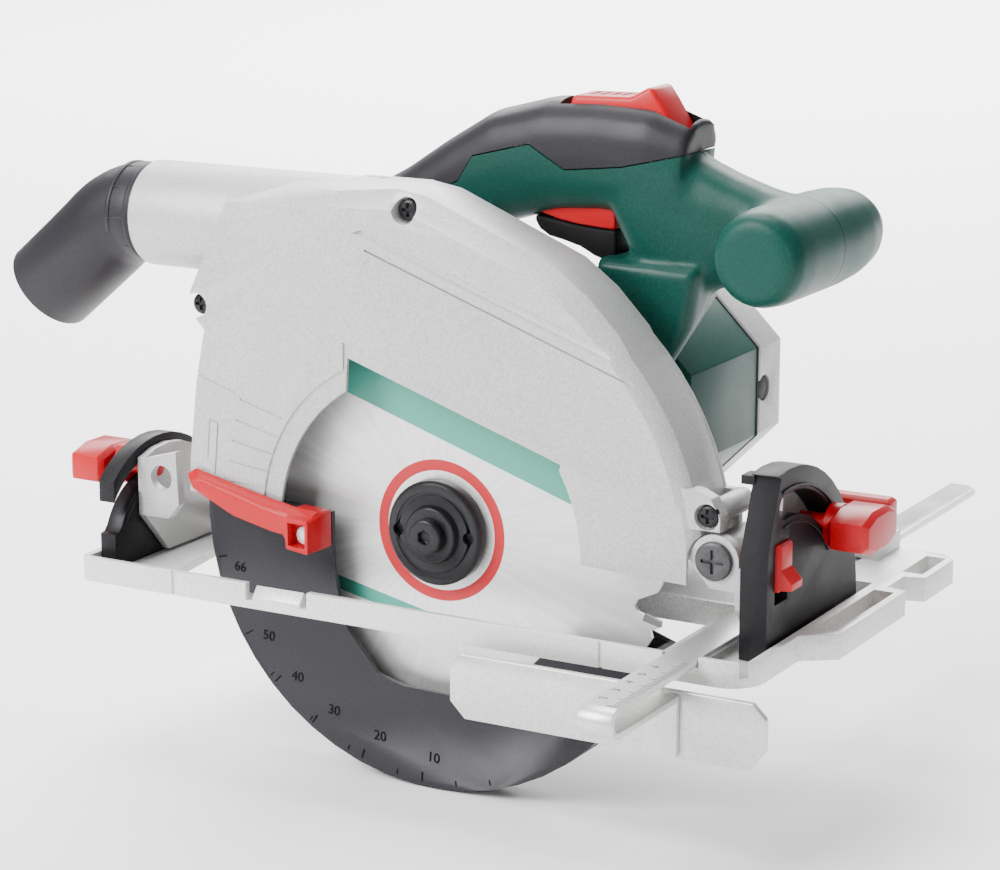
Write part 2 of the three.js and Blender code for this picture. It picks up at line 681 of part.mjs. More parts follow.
// The space the blade, the lower guard and the chips have inside the guard.
function guardHollow() {
  const w = GUARD_WALL;
  return join(
    prism(guardOutline(w), 'y', GUARD_STEP + w, GUARD_BACK + 1),
    prism(faceOutline(w), 'y', GUARD_NEAR + w, GUARD_STEP + w + 0.01),
    rod(LOWER_GUARD_R + 1.5, 'y', GUARD_STEP + 0.9, GUARD_BACK + 1, [0, 0, 0], 64));
}

function screwHoles(at, headNear, headFar, shankFar) {
  return [
    rod(SCREW_WELL_R, 'y', headNear, headFar, at, 14),
    rod(SCREW_HOLE_R, 'y', headFar - 1, shankFar, at, 10),
  ];
}

function upperGuard() {
  const body = join(prism(guardOutline(0), 'y', GUARD_STEP, GUARD_BACK),
    prism(faceOutline(0), 'y', GUARD_NEAR, GUARD_STEP + 0.01));
  const w = GUARD_WALL;
  const below = block(-GUARD_REAR + w, GUARD_R - w, GUARD_NEAR + w, GUARD_BACK + 1, -20, 8.5);
  const windowCut = prism(windowOutline(), 'y', GUARD_NEAR - 1, GUARD_NEAR + w + 1);
  const tubeCut = rod(TUBE_R + GAP, 'x', -150, TUBE_FRONT + 1, [0, TUBE_Y, TUBE_Z], 28);
  const bosses = guardScrewSpots().map(([x, z]) =>
    common(rod(7, 'y', GUARD_STEP - 4, GUARD_BACK, [x, 0, z], 14),
      prism(guardOutline(0), 'y', GUARD_NEAR, GUARD_BACK)));
  const holes = guardScrewSpots().flatMap(([x, z]) =>
    screwHoles([x, 0, z], GUARD_NEAR - 2, GUARD_STEP + 2, GUARD_BACK + 1));
  const trimR = EAR_R + 0.6;
  const pivotTrim = join(
    rod(trimR, 'y', GUARD_NEAR - 1, GUARD_BACK + 1, [PIVOT_X, 0, PIVOT_Z], 24),
    block(PIVOT_X - trimR, PIVOT_X + 20, GUARD_NEAR - 1, GUARD_BACK + 1, -20, PIVOT_Z));
  const lugHoles = screwHoles(FRONT_SCREW_AT, GUARD_NEAR - 1, -12, GUARD_BACK);
  const bossRoom = rod(SCREW_WELL_R, 'y', -7.9, GUARD_BACK + 1, FRONT_SCREW_AT, 14);
  const shell = cut(body, guardHollow(), below, windowCut);
  return cut(join(shell, ...bosses, guardLug()), tubeCut, pivotTrim, bossRoom, ...lugHoles,
    ...holes);
}

function panHeadScrew(at, headNear, headFar, shankFar) {
  return join(rod(SCREW_R, 'y', headFar - 0.4, shankFar, at, 10),
    rod(SCREW_HEAD_R, 'y', headNear, headFar, at, 14));
}

function guardScrew([x, z]) {
  return panHeadScrew([x, 0, z], GUARD_STEP - 1.5, GUARD_STEP + 1.4, GUARD_BACK - 1);
}

function frontGuardScrew() {
  return panHeadScrew(FRONT_SCREW_AT, -14.4, -12.1, 8);
}

function chipTube() {
  const tube = ring(TUBE_R - TUBE_WALL, TUBE_R, 'x', TUBE_REAR, TUBE_FRONT, [0, TUBE_Y, TUBE_Z], 28);
  const mouth = block(-84, -40, -20, 30, TUBE_Z - 30, TUBE_Z - 12);
  const guardRoom = rod(LOWER_GUARD_R + 1.5, 'y', -20, 30, [0, 0, 0], 64);
  return cut(tube, mouth, guardRoom);
}

// Elbow that turns on the rear end of the tube and points down and back.
function chipElbow() {
  const inner = ELBOW_R - 2.5;
  const collarX = TUBE_REAR - GAP;
  const path = new THREE.CatmullRomCurve3([
    new THREE.Vector3(collarX, TUBE_Y, TUBE_Z),
    new THREE.Vector3(collarX - 9, TUBE_Y, TUBE_Z - 0.5),
    new THREE.Vector3(collarX - 19, TUBE_Y, TUBE_Z - 5),
    new THREE.Vector3(collarX - 28, TUBE_Y, TUBE_Z - 12.5),
    new THREE.Vector3(collarX - 38, TUBE_Y, TUBE_Z - 21),
    new THREE.Vector3(collarX - 53, TUBE_Y, TUBE_Z - 33.5),
  ]);
  const section = new THREE.Shape();
  section.absarc(0, 0, ELBOW_R, 0, 2 * Math.PI, false);
  const bore = new THREE.Path();
  bore.absarc(0, 0, inner, 0, 2 * Math.PI, true);
  section.holes.push(bore);
  const options = { steps: 9, extrudePath: path, curveSegments: 10, bevelEnabled: false };
  const plugEnd = block(collarX, collarX + 10, TUBE_Y - 30, TUBE_Y + 30, TUBE_Z - 30, TUBE_Z + 30);
  return cut(new THREE.ExtrudeGeometry(section, options), plugEnd);
}

// ---------------------------------------------------------------- gearbox
// Three overlapping rounds, one about each shaft.
function gearCaseSolid(inset, low, high) {
  const middle = MID_GEAR_R + 2 + CASE_WALL - inset;
  return join(
    rod(GEAR_CASE_R - inset, 'y', low, high, [0, 0, 0], 28),
    rod(middle, 'y', low, high, [MID_X, 0, MID_Z], 28),
    rod(MOTOR_R - 4 - inset, 'y', low, high, [MOTOR_X, 0, MOTOR_Z], 32),
  );
}

function clampSpot() {
  const angle = radians(180 - ARC_START_DEG);
  return [PIVOT_X + ARC_R * Math.cos(angle), PIVOT_Z + ARC_R * Math.sin(angle)];
}

function gearHousing() {
  const plateNear = GUARD_BACK + GAP;
  const plateFar = plateNear + BACK_T;
  const plate = prism(guardOutline(1), 'y', plateNear, plateFar);
  const tubeCut = rod(TUBE_R + GAP, 'x', -150, TUBE_FRONT + 1, [0, TUBE_Y, TUBE_Z], 28);
  const shell = cut(gearCaseSolid(0, plateFar - 0.01, GEAR_CASE_FAR),
    gearCaseSolid(CASE_WALL, plateFar + 3, GEAR_CASE_FAR + 1));
  const nose = rod(NOSE_R, 'y', NOSE_NEAR, plateNear + 0.01, [0, 0, 0], 28);
  const seats = [
    rod(BEARING_R + 3, 'y', plateFar - 0.01, BEARING_FAR, [0, 0, 0], 24),
    rod(SMALL_BEARING_R + 2.5, 'y', plateFar - 0.01, BEARING_FAR + 1, [MID_X, 0, MID_Z], 20),
  ];
  const lug = join(
    rod(LUG_R, 'y', -8.5, plateFar, [PIVOT_X, 0, PIVOT_Z], 20),
    block(GUARD_R - 12, PIVOT_X, plateNear, plateFar, PIVOT_Z - LUG_R + 0.5, PIVOT_Z + LUG_R - 0.5),
    rod(4.5, 'y', -7.5, plateFar, FRONT_SCREW_AT, 14),
    block(GUARD_R - 10, FRONT_SCREW_AT[0], plateNear, plateFar, PIVOT_Z, FRONT_SCREW_AT[2] + 4),
  );
  const [clampX, clampZ] = clampSpot();
  const clampLug = join(
    rod(7, 'y', plateNear, ARC_Y - 2 * GAP, [clampX, 0, clampZ], 16),
    block(clampX, 14 - GUARD_REAR, plateNear, plateFar, clampZ, clampZ + 30),
  );
  const bores = [
    rod(PIVOT_PIN_R + GAP, 'y', -10, plateFar + 1, [PIVOT_X, 0, PIVOT_Z], 20),
    rod(SCREW_HOLE_R, 'y', -8, plateFar + 1, FRONT_SCREW_AT, 10),
    rod(CLAMP_BOLT_R + 0.2, 'y', plateNear - 1, ARC_Y, [clampX, 0, clampZ], 14),
    rod(BEARING_R + GAP, 'y', FRONT_BEARING_NEAR - GAP, GEAR_CASE_FAR, [0, 0, 0], 24),
    rod(SPINDLE_R + 2, 'y', NOSE_NEAR - 1, GEAR_CASE_FAR, [0, 0, 0], 24),
    rod(SMALL_BEARING_R + GAP, 'y', plateFar + 0.5, GEAR_CASE_FAR, [MID_X, 0, MID_Z], 20),
    ...guardScrewSpots().map(([x, z]) => rod(2.5, 'y', plateNear - 1, plateFar + 1, [x, 0, z], 10)),
  ];
  return cut(join(plate, shell, nose, ...seats, lug, clampLug), tubeCut, ...bores);
}

function bearing(bore, outer, low, x, z) {
  return ring(bore + 0.1, outer, 'y', low, low + BEARING_T, [x, 0, z], 20);
}

function gearCover() {
  const cover = gearCaseSolid(0, COVER_NEAR, COVER_FAR);
  const armatureHole = rod(ARMATURE_PINION_R + 3, 'y', COVER_NEAR - 1, COVER_FAR + 1,
    [MOTOR_X, 0, MOTOR_Z], 20);
  return cut(cover, armatureHole);
}

function octagon(r, x, z) {
  const points = [];
  for (let i = 0; i < 8; i += 1) {
    const angle = radians(22.5 + 45 * i);
    points.push([x + r * Math.cos(angle), z + r * Math.sin(angle)]);
  }
  return points;
}

function motorHousing() {
  const outer = prism(octagon(MOTOR_R / Math.cos(radians(22.5)), MOTOR_X, MOTOR_Z), 'y',
    MOTOR_NEAR, MOTOR_FAR);
  const bore = rod(MOTOR_R - MOTOR_WALL, 'y', MOTOR_NEAR - 1, MOTOR_FAR + 1, [MOTOR_X, 0, MOTOR_Z], 32);
  return cut(outer, bore);
}

function motorCap() {
  const size = MOTOR_R / Math.cos(radians(22.5));
  const near = MOTOR_FAR + GAP;
  const outer = softPrism(octagon(size - 0.6, MOTOR_X, MOTOR_Z), 'y', near, CAP_FAR, 4);
  const bore = rod(MOTOR_R - MOTOR_WALL - 4, 'y', near - 1, CAP_FAR - 4, [MOTOR_X, 0, MOTOR_Z], 28);
  const vents = [];
  for (let i = -2; i <= 2; i += 1) {
    vents.push(block(MOTOR_X + 9 * i - 2, MOTOR_X + 9 * i + 2, CAP_FAR - 5, CAP_FAR + 1,
      MOTOR_Z - 26, MOTOR_Z - 14));
  }
  const seat = ring(SMALL_BEARING_R + GAP, SMALL_BEARING_R + 3, 'y', CAP_FAR - 4 - BEARING_T - 1,
    CAP_FAR - 3.9, [MOTOR_X, 0, MOTOR_Z], 20);
  const holes = BRUSH_SIDES.map(brushHole);
  return cut(join(cut(outer, bore), seat), ...vents, ...holes);
}

function brushHole(side) {
  const x = MOTOR_X + side * (MOTOR_R - 6);
  return rod(BRUSH_R + 0.5, 'x', x - 12, x + 12, [0, BRUSH_Y, MOTOR_Z], 14);
}

function brushHolder(side) {
  const inner = COMMUTATOR_R + 1;
  const outer = MOTOR_R - 1;
  const low = side > 0 ? MOTOR_X + inner : MOTOR_X - outer;
  return rod(BRUSH_R, 'x', low, low + outer - inner, [0, BRUSH_Y, MOTOR_Z], 14);
}

function stator() {
  return ring(STATOR_BORE_R, STATOR_R, 'y', MOTOR_NEAR + 12, MOTOR_FAR - 8, [MOTOR_X, 0, MOTOR_Z], 28);
}

function armature() {
  const at = [MOTOR_X, 0, MOTOR_Z];
  const shaft = rod(3.9, 'y', 22, CAP_FAR - 5, at, 16);
  const core = rod(ROTOR_R, 'y', MOTOR_NEAR + 13, MOTOR_FAR - 9, at, 24);
  const pinion = prism(gearOutline(MOTOR_X, MOTOR_Z, ARMATURE_PINION_R, 7), 'y', 33, 43);
  return join(shaft, core, pinion);
}

function commutator() {
  return ring(4.2, COMMUTATOR_R, 'y', BRUSH_Y - 8, BRUSH_Y + 5, [MOTOR_X, 0, MOTOR_Z], 24);
}

function fan() {
  const y0 = MOTOR_NEAR + 2;
  const hub = ring(4.2, 9, 'y', y0, y0 + 8, [MOTOR_X, 0, MOTOR_Z], 20);
  const disc = ring(8, MOTOR_R - MOTOR_WALL - 2, 'y', y0, y0 + 1.6, [MOTOR_X, 0, MOTOR_Z], 28);
  const blades = [];
  for (let i = 0; i < 9; i += 1) {
    const blade = block(14, MOTOR_R - MOTOR_WALL - 4, y0 + 1.5, y0 + 8, -0.8, 0.8);
    blade.rotateY(radians(40 * i));
    blades.push(blade.translate(MOTOR_X, 0, MOTOR_Z));
  }
  return join(hub, disc, ...blades);
}

// ---------------------------------------------------------------- arbor
function polar(r, deg) {
  return [r * Math.cos(radians(deg)), r * Math.sin(radians(deg))];
}

// The teeth point the way the blade turns: up at the front, back over the top.
function bladeOutline() {
  const points = [];
  const step = 360 / TOOTH_COUNT;
  for (let i = 0; i < TOOTH_COUNT; i += 1) {
    const at = step * i;
    points.push(polar(BLADE_R, at));
    points.push(polar(BLADE_R - TOOTH_DEPTH, at + step * 0.1));
    points.push(polar(BLADE_R - 0.7 * TOOTH_DEPTH, at + step * 0.4));
    points.push(polar(BLADE_R - 1.5, at + step * 0.7));
  }
  return points;
}

function sawBlade() {
  const half = BLADE_T / 2;
  return cut(prism(bladeOutline(), 'y', -half, half),
    rod(BLADE_BORE_R, 'y', -2, 2, [0, 0, 0], 32));
}

function outerFlange() {
  const near = -BLADE_T / 2 - GAP;
  const profile = [[4.4, near], [FLANGE_R, near], [FLANGE_R, near - 4], [FLANGE_R - 1.5, near - 5.5],
    [11, near - 5.5], [11, near - 8.5], [4.4, near - 8.5], [4.4, near]];
  const holes = [-1, 1].map((side) => rod(2.2, 'y', near - 7, near - 3, [side * 15, 0, 0], 10));
  return cut(turned(profile, 'y', [0, 0, 0], 36), ...holes);
}

function innerFlange() {
  const far = BLADE_T / 2 + GAP;
  const pilot = BLADE_BORE_R - GAP;
  const profile = [[SPINDLE_R + GAP, -BLADE_T / 2], [pilot, -BLADE_T / 2], [pilot, far],
    [FLANGE_R, far], [FLANGE_R, far + 1.4], [SPINDLE_R + GAP, far + 1.4],
    [SPINDLE_R + GAP, -BLADE_T / 2]];
  return turned(profile, 'y', [0, 0, 0], 32);
}

function bladeBolt() {
  const seat = -BLADE_T / 2 - GAP - 8.5 - GAP;
  const shank = rod(4, 'y', seat - 0.5, 12, [0, 0, 0], 14);
  const head = turned([[0, seat - 3.5], [6.2, seat - 3.5], [6.8, seat - 2.9], [6.8, seat], [0, seat]],
    'y', [0, 0, 0], 20);
  const hex = rod(2.9, 'y', seat - 4, seat - 1, [0, 0, 0], 6);
  return cut(join(shank, head), hex);
}

function spindle() {
  const body = rod(SPINDLE_R, 'y', -BLADE_T / 2 + 0.4, SPINDLE_FAR, [0, 0, 0], 24);
  return cut(body, rod(4.3, 'y', -4, 18, [0, 0, 0], 16));
}

function outputGear() {
  const gear = prism(gearOutline(0, 0, OUTPUT_GEAR_R, 30), 'y', 27, 36);
  return cut(gear, rod(SPINDLE_R + 0.1, 'y', 26, 37, [0, 0, 0], 24));
}

function layshaft() {
  const shaft = rod(4, 'y', 17, 44, [MID_X, 0, MID_Z], 16);
  const pinion = prism(gearOutline(MID_X, MID_Z, MID_PINION_R, 12), 'y', 26, 33.5);
  return join(shaft, pinion);
}

function midGear() {
  const gear = prism(gearOutline(MID_X, MID_Z, MID_GEAR_R, 30), 'y', 36.5, 42.5);
  return cut(gear, rod(4.1, 'y', 36, 43, [MID_X, 0, MID_Z], 16));
}

// ---------------------------------------------------------------- lower guard
function lowerGuard() {
  const r = LOWER_GUARD_R;
  const w = LOWER_GUARD_WALL;
  const near = LOWER_GUARD_NEAR;
  const back = LOWER_GUARD_BACK;
  const from = 176;
  const to = 341;
  const nearFace = prism([
    ...arcPoints(0, 0, r, from, to, 24),
    ...arcPoints(0, 0, 62, to, 283, 6),
    ...arcPoints(0, 0, 61, 260, 248, 2),
    [-38, -38.5], [-42, -15], [-42, 4],
  ], 'y', near, near + w);
  const rim = prism(bandOutline(0, 0, r - w, r, from, to, 24), 'y', near, back);
  const backFace = prism(bandOutline(0, 0, 60, r, from, to, 20), 'y', back - w, back);
  const arm = prism([[-64, 5], [-64, -40], [-40, -64], [5, -64], [24, -12], [-12, 24]], 'y',
    back - w, back);
  const hub = rod(27, 'y', back - w, back, [0, 0, 0], 28);
  const bore = rod(NOSE_R + GAP, 'y', near - 1, back + 1, [0, 0, 0], 28);
  const post = block(-53, -42.2, -17.9, near + 0.5, -9, 2);
  return cut(join(nearFace, rim, backFace, arm, hub, post), bore,
    rod(2, 'y', -20, near - 1, LEVER_SCREW_AT, 8));
}

// A flat finger bar in front of the upper guard, with a deep box round the screw.
function pullLever() {
  const far = -17.9 - GAP;
  const bar = softPrism([[-103, 13], [-98, 16], [-60, 8], [-50, 6], [-50, -3], [-61, -3], [-96, 5],
    [-102, 9]], 'y', LEVER_BAR_NEAR, far, 1.2);
  const box = softPrism([[-55, 6], [-43, 5], [-41.5, 3], [-41.5, -9.5], [-44, -11], [-55, -10]], 'y',
    LEVER_BOX_NEAR, far, 1);
  const well = block(-53, -43.5, LEVER_BOX_NEAR - 1, far - 1.6, -8.5, 3);
  const hole = rod(2.4, 'y', far - 3, far + 1, LEVER_SCREW_AT, 8);
  return cut(join(bar, box), well, hole);
}

function leverScrew() {
  return join(rod(1.8, 'y', -21, -13, LEVER_SCREW_AT, 8),
    rod(3.6, 'y', -21.6, -20.1, LEVER_SCREW_AT, 12));
}

// ---------------------------------------------------------------- handle (head coordinates)
function handleOutline() {
  return [
    [-62, 96], [-62, 116], [-52, 123], [-30, 133], [-8, 147], [12, 155.5], [36, 160],
    [62, 159], [76, 155], [83, 143], [84, 136], [84, 104], [76, 88], [46, 88],
    [50, 100], [47, 116], [38, 121], [12, 117], [-12, 108], [-30, 96],
  ];
}

function splitLine() {
  return [
    [-30, 118], [-10, 127.5], [-4, 137], [20, 143], [35, 134.5], [58, 137], [84, 143],
  ];
}

function gripOutline() {
  return [...splitLine().reverse(), [-62, 106], [-72, 106], [-72, 180], [100, 180], [100, 143]];
}

function triggerOutline(grow) {
  return [
    [18 - grow, TRIGGER_TOP], [52 + grow, TRIGGER_TOP], [52 + grow, 100 - grow],
    [40, 101 - grow], [24, 106 - grow], [18 - grow, 112 - grow],
  ];
}

function handleBody() {
  const y0 = HANDLE_Y - HALF_T;
  const y1 = HANDLE_Y + HALF_T;
  const body = softPrism(handleOutline(), 'y', y0, y1, 6, 2);
  const barrelY = HANDLE_Y - T_HANDLE_LENGTH / 2 + 8;
  const barrel = turned([[0, 0], [11, 0], [16.5, 4], [T_HANDLE_R, 16], [T_HANDLE_R, 74],
    [15, 90], [8, T_HANDLE_LENGTH], [0, T_HANDLE_LENGTH]], 'y', [T_HANDLE_X, barrelY, T_HANDLE_Z], 20);
  const neck = softPrism([[78, 143], [104, 136], [124, 128], [126, 100], [106, 94], [92, 92],
    [78, 92]], 'y', HANDLE_Y - 14, HANDLE_Y + 14, 5, 1);
  return join(body, barrel, neck);
}

function handleHollow() {
  const wall = 3.5;
  const outline = [
    [-50, 108], [-30, 121], [-8, 136], [12, 146], [36, 150], [60, 149], [74, 145], [78, 134],
    [78, 108], [72, 96], [56, 96], [56, 118], [40, 128], [12, 124], [-16, 114], [-34, 104],
  ];
  return softPrism(outline, 'y', HANDLE_Y - HALF_T + wall, HANDLE_Y + HALF_T - wall, 2, 1);
}

function handleParts() {
  const gripSide = prism(gripOutline(), 'y', -10, 110);
  const lockRear = LOCK_OFF[0][0] - 1;
  const lockFront = LOCK_OFF[1][0] + LOCK_TRAVEL + 2;
  const lockRoom = block(lockRear, lockFront, HANDLE_Y - LOCK_OFF_HALF - GAP,
    HANDLE_Y + LOCK_OFF_HALF + GAP, 144, 175);
  const triggerRoom = prism(triggerOutline(GAP), 'y', HANDLE_Y - TRIGGER_HALF - GAP,
    HANDLE_Y + TRIGGER_HALF + GAP);
  const gearClear = join(gearCaseSolid(-1, 10, MOTOR_NEAR),
    prism(octagon((MOTOR_R + 0.6) / Math.cos(radians(22.5)), MOTOR_X, MOTOR_Z), 'y', 45, 112));
  const glandRoom = rod(GLAND_R + GAP, 'x', -90, -58, [0, HANDLE_Y, GLAND_Z], 14);
  const switchRoom = block(12, 60, HANDLE_Y - 12, HANDLE_Y + 12, 127.5, 141);
  const body = cut(handleBody(), handleHollow(), lockRoom, triggerRoom, gearClear, switchRoom,
    glandRoom);
  const lowerSide = cut(body, gripSide);
  const grip = common(body, gripSide);
  const nearHalf = block(-200, 300, -50, HANDLE_Y - GAP / 2, 0, 300);
  const farHalf = block(-200, 300, HANDLE_Y + GAP / 2, 200, 0, 300);
  return {
    near: common(lowerSide, nearHalf),
    far: common(lowerSide, farHalf),
    grip,
  };
}

function trigger() {
  const lowered = triggerOutline(0).map(([x, z]) => [x, Math.min(z, TRIGGER_TOP - TRIGGER_TRAVEL)]);
  return softPrism(lowered, 'y', HANDLE_Y - TRIGGER_HALF, HANDLE_Y + TRIGGER_HALF, 1, 1);
}

function lockOff() {
  return softPrism(LOCK_OFF, 'y', HANDLE_Y - LOCK_OFF_HALF, HANDLE_Y + LOCK_OFF_HALF, 1, 1);
}

function switchBox() {
  return block(14, 56, HANDLE_Y - 11, HANDLE_Y + 11, 128, 140.5);
}

function clampLever() {
  const [x, z] = clampSpot();
  const y0 = ARC_Y + ARC_T + GAP;
  const hub = rod(8, 'y', y0 + 0.3, y0 + 8, [x, 0, z], 16);
  const arm = softPrism([[x - 5, z], [x + 5, z], [x + 9, z + 42], [x + 3, z + 46], [x - 3, z + 42]],
    'y', y0 + 2, y0 + 7.5, 1.2);
  const bore = rod(CLAMP_BOLT_R + 0.2, 'y', y0 - 1, y0 + 9, [x, 0, z], 14);
  return cut(join(hub, arm), bore);
}

function clampBolt() {
  const [x, z] = clampSpot();
  const far = ARC_Y + ARC_T + GAP + 8.6;
  return join(rod(CLAMP_BOLT_R, 'y', 13, far, [x, 0, z], 14),
    rod(6, 'y', far - 0.01, far + 2.5, [x, 0, z], 6));
}

function spindleLock() {
  return join(rod(2.6, 'x', -4, 10, LOCK_PIN_AT, 10), rod(6, 'x', -9, -4, LOCK_PIN_AT, 14));
}

function cableGland() {
  return ring(4, GLAND_R, 'x', -76, -58.5, [0, HANDLE_Y, GLAND_Z], 14);
}

function guardSpring() {
  return ring(21.5, 23.5, 'y', LOWER_GUARD_BACK + 0.4, GUARD_BACK, [0, 0, 0], 24);
}

// ---------------------------------------------------------------- assembly
function makeHead() {
  const group = new THREE.Group();
  group.position.z = SPINDLE_Z;
  const handle = handleParts();
  const lockRoom = rod(3, 'x', -30, 40, LOCK_PIN_AT, 12);
  const [topScrew, rearScrew] = guardScrewSpots();
  const parts = [
    ['upper_guard', upperGuard(), CAST_GREY],
    ['gear_housing', cut(gearHousing(), lockRoom), CAST_GREY],
    ['gear_cover', gearCover(), CAST_GREY],
    ['motor_housing', motorHousing(), GREEN],
    ['motor_cap', motorCap(), CAST_GREY],
    ['stator', stator(), DARK_STEEL],
    ['brush_holder_front', brushHolder(1), BLACK],
    ['brush_holder_rear', brushHolder(-1), BLACK],
    ['handle_shell_near', handle.near, GREEN],
    ['handle_shell_far', handle.far, GREEN],
    ['soft_grip', handle.grip, SOFT_BLACK],
    ['switch', switchBox(), BLACK],
    ['cable_gland', cableGland(), SOFT_BLACK],
    ['chip_tube', chipTube(), CAST_GREY],
    ['guard_screw_top', guardScrew(topScrew), DARK_STEEL],
    ['guard_screw_rear', guardScrew(rearScrew), DARK_STEEL],
    ['guard_screw_front', frontGuardScrew(), DARK_STEEL],
    ['spindle_bearing_front', bearing(SPINDLE_R, BEARING_R, FRONT_BEARING_NEAR, 0, 0), STEEL],
    ['spindle_bearing_rear', bearing(SPINDLE_R, BEARING_R, REAR_BEARING_NEAR, 0, 0), STEEL],
    ['layshaft_bearing', bearing(4, SMALL_BEARING_R, REAR_BEARING_NEAR + 0.5, MID_X, MID_Z), STEEL],
    ['armature_bearing', bearing(3.9, SMALL_BEARING_R, CAP_FAR - 4.5 - BEARING_T,
      MOTOR_X, MOTOR_Z), STEEL],
    ['guard_spring', guardSpring(), STEEL],
    ['depth_clamp_bolt', clampBolt(), STEEL],
    ['depth_clamp_lever', clampLever(), RED],
    ['saw_blade', sawBlade(), STEEL],
    ['outer_flange', outerFlange(), DARK_STEEL],
    ['inner_flange', innerFlange(), DARK_STEEL],
    ['blade_bolt', bladeBolt(), DARK_STEEL],
    ['spindle', spindle(), STEEL],
    ['output_gear', outputGear(), STEEL],
    ['layshaft', layshaft(), STEEL],
    ['mid_gear', midGear(), STEEL],
    ['armature', armature(), STEEL],
    ['commutator', commutator(), COPPER],
    ['fan', fan(), BLACK],
    ['lower_guard', lowerGuard(), GUARD_GREY],
    ['pull_lever', pullLever(), RED],
    ['lever_screw', leverScrew(), STEEL],
    ['trigger', trigger(), RED],
    ['lock_off_slider', lockOff(), RED],
    ['spindle_lock_button', spindleLock(), BLACK],
    ['chip_elbow', chipElbow(), SOFT_BLACK],
  ];
  for (const [name, shape, material] of parts) group.add(piece(name, shape, material));
  return group;
}

const saw = new THREE.Group();
saw.position.y = -SOLE_MIDDLE;
saw.add(makeBase(), makeFence(), makeBevelFrame(), makeHead());

export default saw;
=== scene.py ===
"""Looks of the hand-held circular saw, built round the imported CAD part.

Shapes are drawn in millimetres from the point where the spindle crosses the blade's plane, and
are moved into the row frame when they are finished.
"""

import json
import math

import bmesh
import bpy
from mathutils import Matrix, Vector


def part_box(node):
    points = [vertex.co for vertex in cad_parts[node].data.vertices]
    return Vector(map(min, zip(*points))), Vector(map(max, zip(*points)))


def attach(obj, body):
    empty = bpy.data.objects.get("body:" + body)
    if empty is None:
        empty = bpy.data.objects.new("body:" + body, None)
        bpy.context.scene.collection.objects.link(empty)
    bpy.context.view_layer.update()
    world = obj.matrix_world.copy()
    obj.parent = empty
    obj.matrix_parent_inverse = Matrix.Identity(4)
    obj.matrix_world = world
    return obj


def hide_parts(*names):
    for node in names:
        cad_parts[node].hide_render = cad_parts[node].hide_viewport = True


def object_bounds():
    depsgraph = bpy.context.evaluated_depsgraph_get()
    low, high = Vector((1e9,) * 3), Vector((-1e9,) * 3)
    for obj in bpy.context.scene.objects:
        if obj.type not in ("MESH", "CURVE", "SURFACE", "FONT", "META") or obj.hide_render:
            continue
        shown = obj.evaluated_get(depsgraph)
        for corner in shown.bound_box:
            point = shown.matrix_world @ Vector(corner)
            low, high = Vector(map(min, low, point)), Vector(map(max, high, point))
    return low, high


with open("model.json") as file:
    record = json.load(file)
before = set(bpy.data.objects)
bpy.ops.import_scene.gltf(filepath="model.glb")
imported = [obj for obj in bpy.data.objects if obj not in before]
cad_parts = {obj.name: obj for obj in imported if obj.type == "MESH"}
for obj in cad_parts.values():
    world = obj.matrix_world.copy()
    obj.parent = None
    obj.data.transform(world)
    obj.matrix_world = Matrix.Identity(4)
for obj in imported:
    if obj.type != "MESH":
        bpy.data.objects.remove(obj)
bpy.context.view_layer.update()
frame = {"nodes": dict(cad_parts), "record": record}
JOINTS = {j["name"]: j for j in frame["record"]["behaviour"]["joints"]}
BODY_OF = {n: b for b, nodes in frame["record"]["behaviour"]["bodies"].items() for n in nodes}
SLOT_OF = {s["node"]: s["material_slot"] for s in frame["record"]["subparts"]}
SPINDLE = Vector(JOINTS["blade_spin"]["pos_m"])
MM = 0.001

# (x, z) in the blade's plane; the tube runs along x, so its place is (y, z).
HUB = (0, 0)
MOTOR_AT = (36.6, 40.6)
PIVOT_AT = (119, 8)
FRONT_SCREW_AT = (116, 23.5)
SCREWS = ((-6.0, 122.0), (-98.0, 79.0))
TUBE_AT = (6, 109)
BEVEL_AXIS = (0, -22)


# ---------------------------------------------------------------- materials
def new_material(name):
    mat = bpy.data.materials.new(name)
    mat.use_nodes = True
    nodes = mat.node_tree.nodes
    nodes.clear()
    out = nodes.new("ShaderNodeOutputMaterial")
    shader = nodes.new("ShaderNodeBsdfPrincipled")
    mat.node_tree.links.new(shader.outputs["BSDF"], out.inputs["Surface"])
    return mat, nodes, mat.node_tree.links, shader


def feed(links, socket, value):
    """Links the socket to another one, or sets it to a plain value."""
    if hasattr(value, "links"):
        links.new(value, socket)
    else:
        socket.default_value = value


def noise(nodes, links, vector, scale, detail, rough=0.55):
    tex = nodes.new("ShaderNodeTexNoise")
    tex.inputs["Scale"].default_value = scale
    tex.inputs["Detail"].default_value = detail
    tex.inputs["Roughness"].default_value = rough
    links.new(vector, tex.inputs["Vector"])
    return tex.outputs["Fac"]


def remap(nodes, links, value, low, high, source=(0.3, 0.7)):
    node = nodes.new("ShaderNodeMapRange")
    node.inputs["From Min"].default_value = source[0]
    node.inputs["From Max"].default_value = source[1]
    node.inputs["To Min"].default_value = low
    node.inputs["To Max"].default_value = high
    links.new(value, node.inputs["Value"])
    return node.outputs["Result"]


def mix_colour(nodes, links, fac, a, b):
    node = nodes.new("ShaderNodeMix")
    node.data_type = "RGBA"
    links.new(fac, node.inputs["Factor"])
    for socket, value in ((node.inputs[6], a), (node.inputs[7], b)):
        feed(links, socket, value if hasattr(value, "links") else (*value, 1.0))
    return node.outputs[2]


def bump(nodes, links, height, strength, distance):
    node = nodes.new("ShaderNodeBump")
    node.inputs["Strength"].default_value = strength
    node.inputs["Distance"].default_value = distance
    links.new(height, node.inputs["Height"])
    return node.outputs["Normal"]


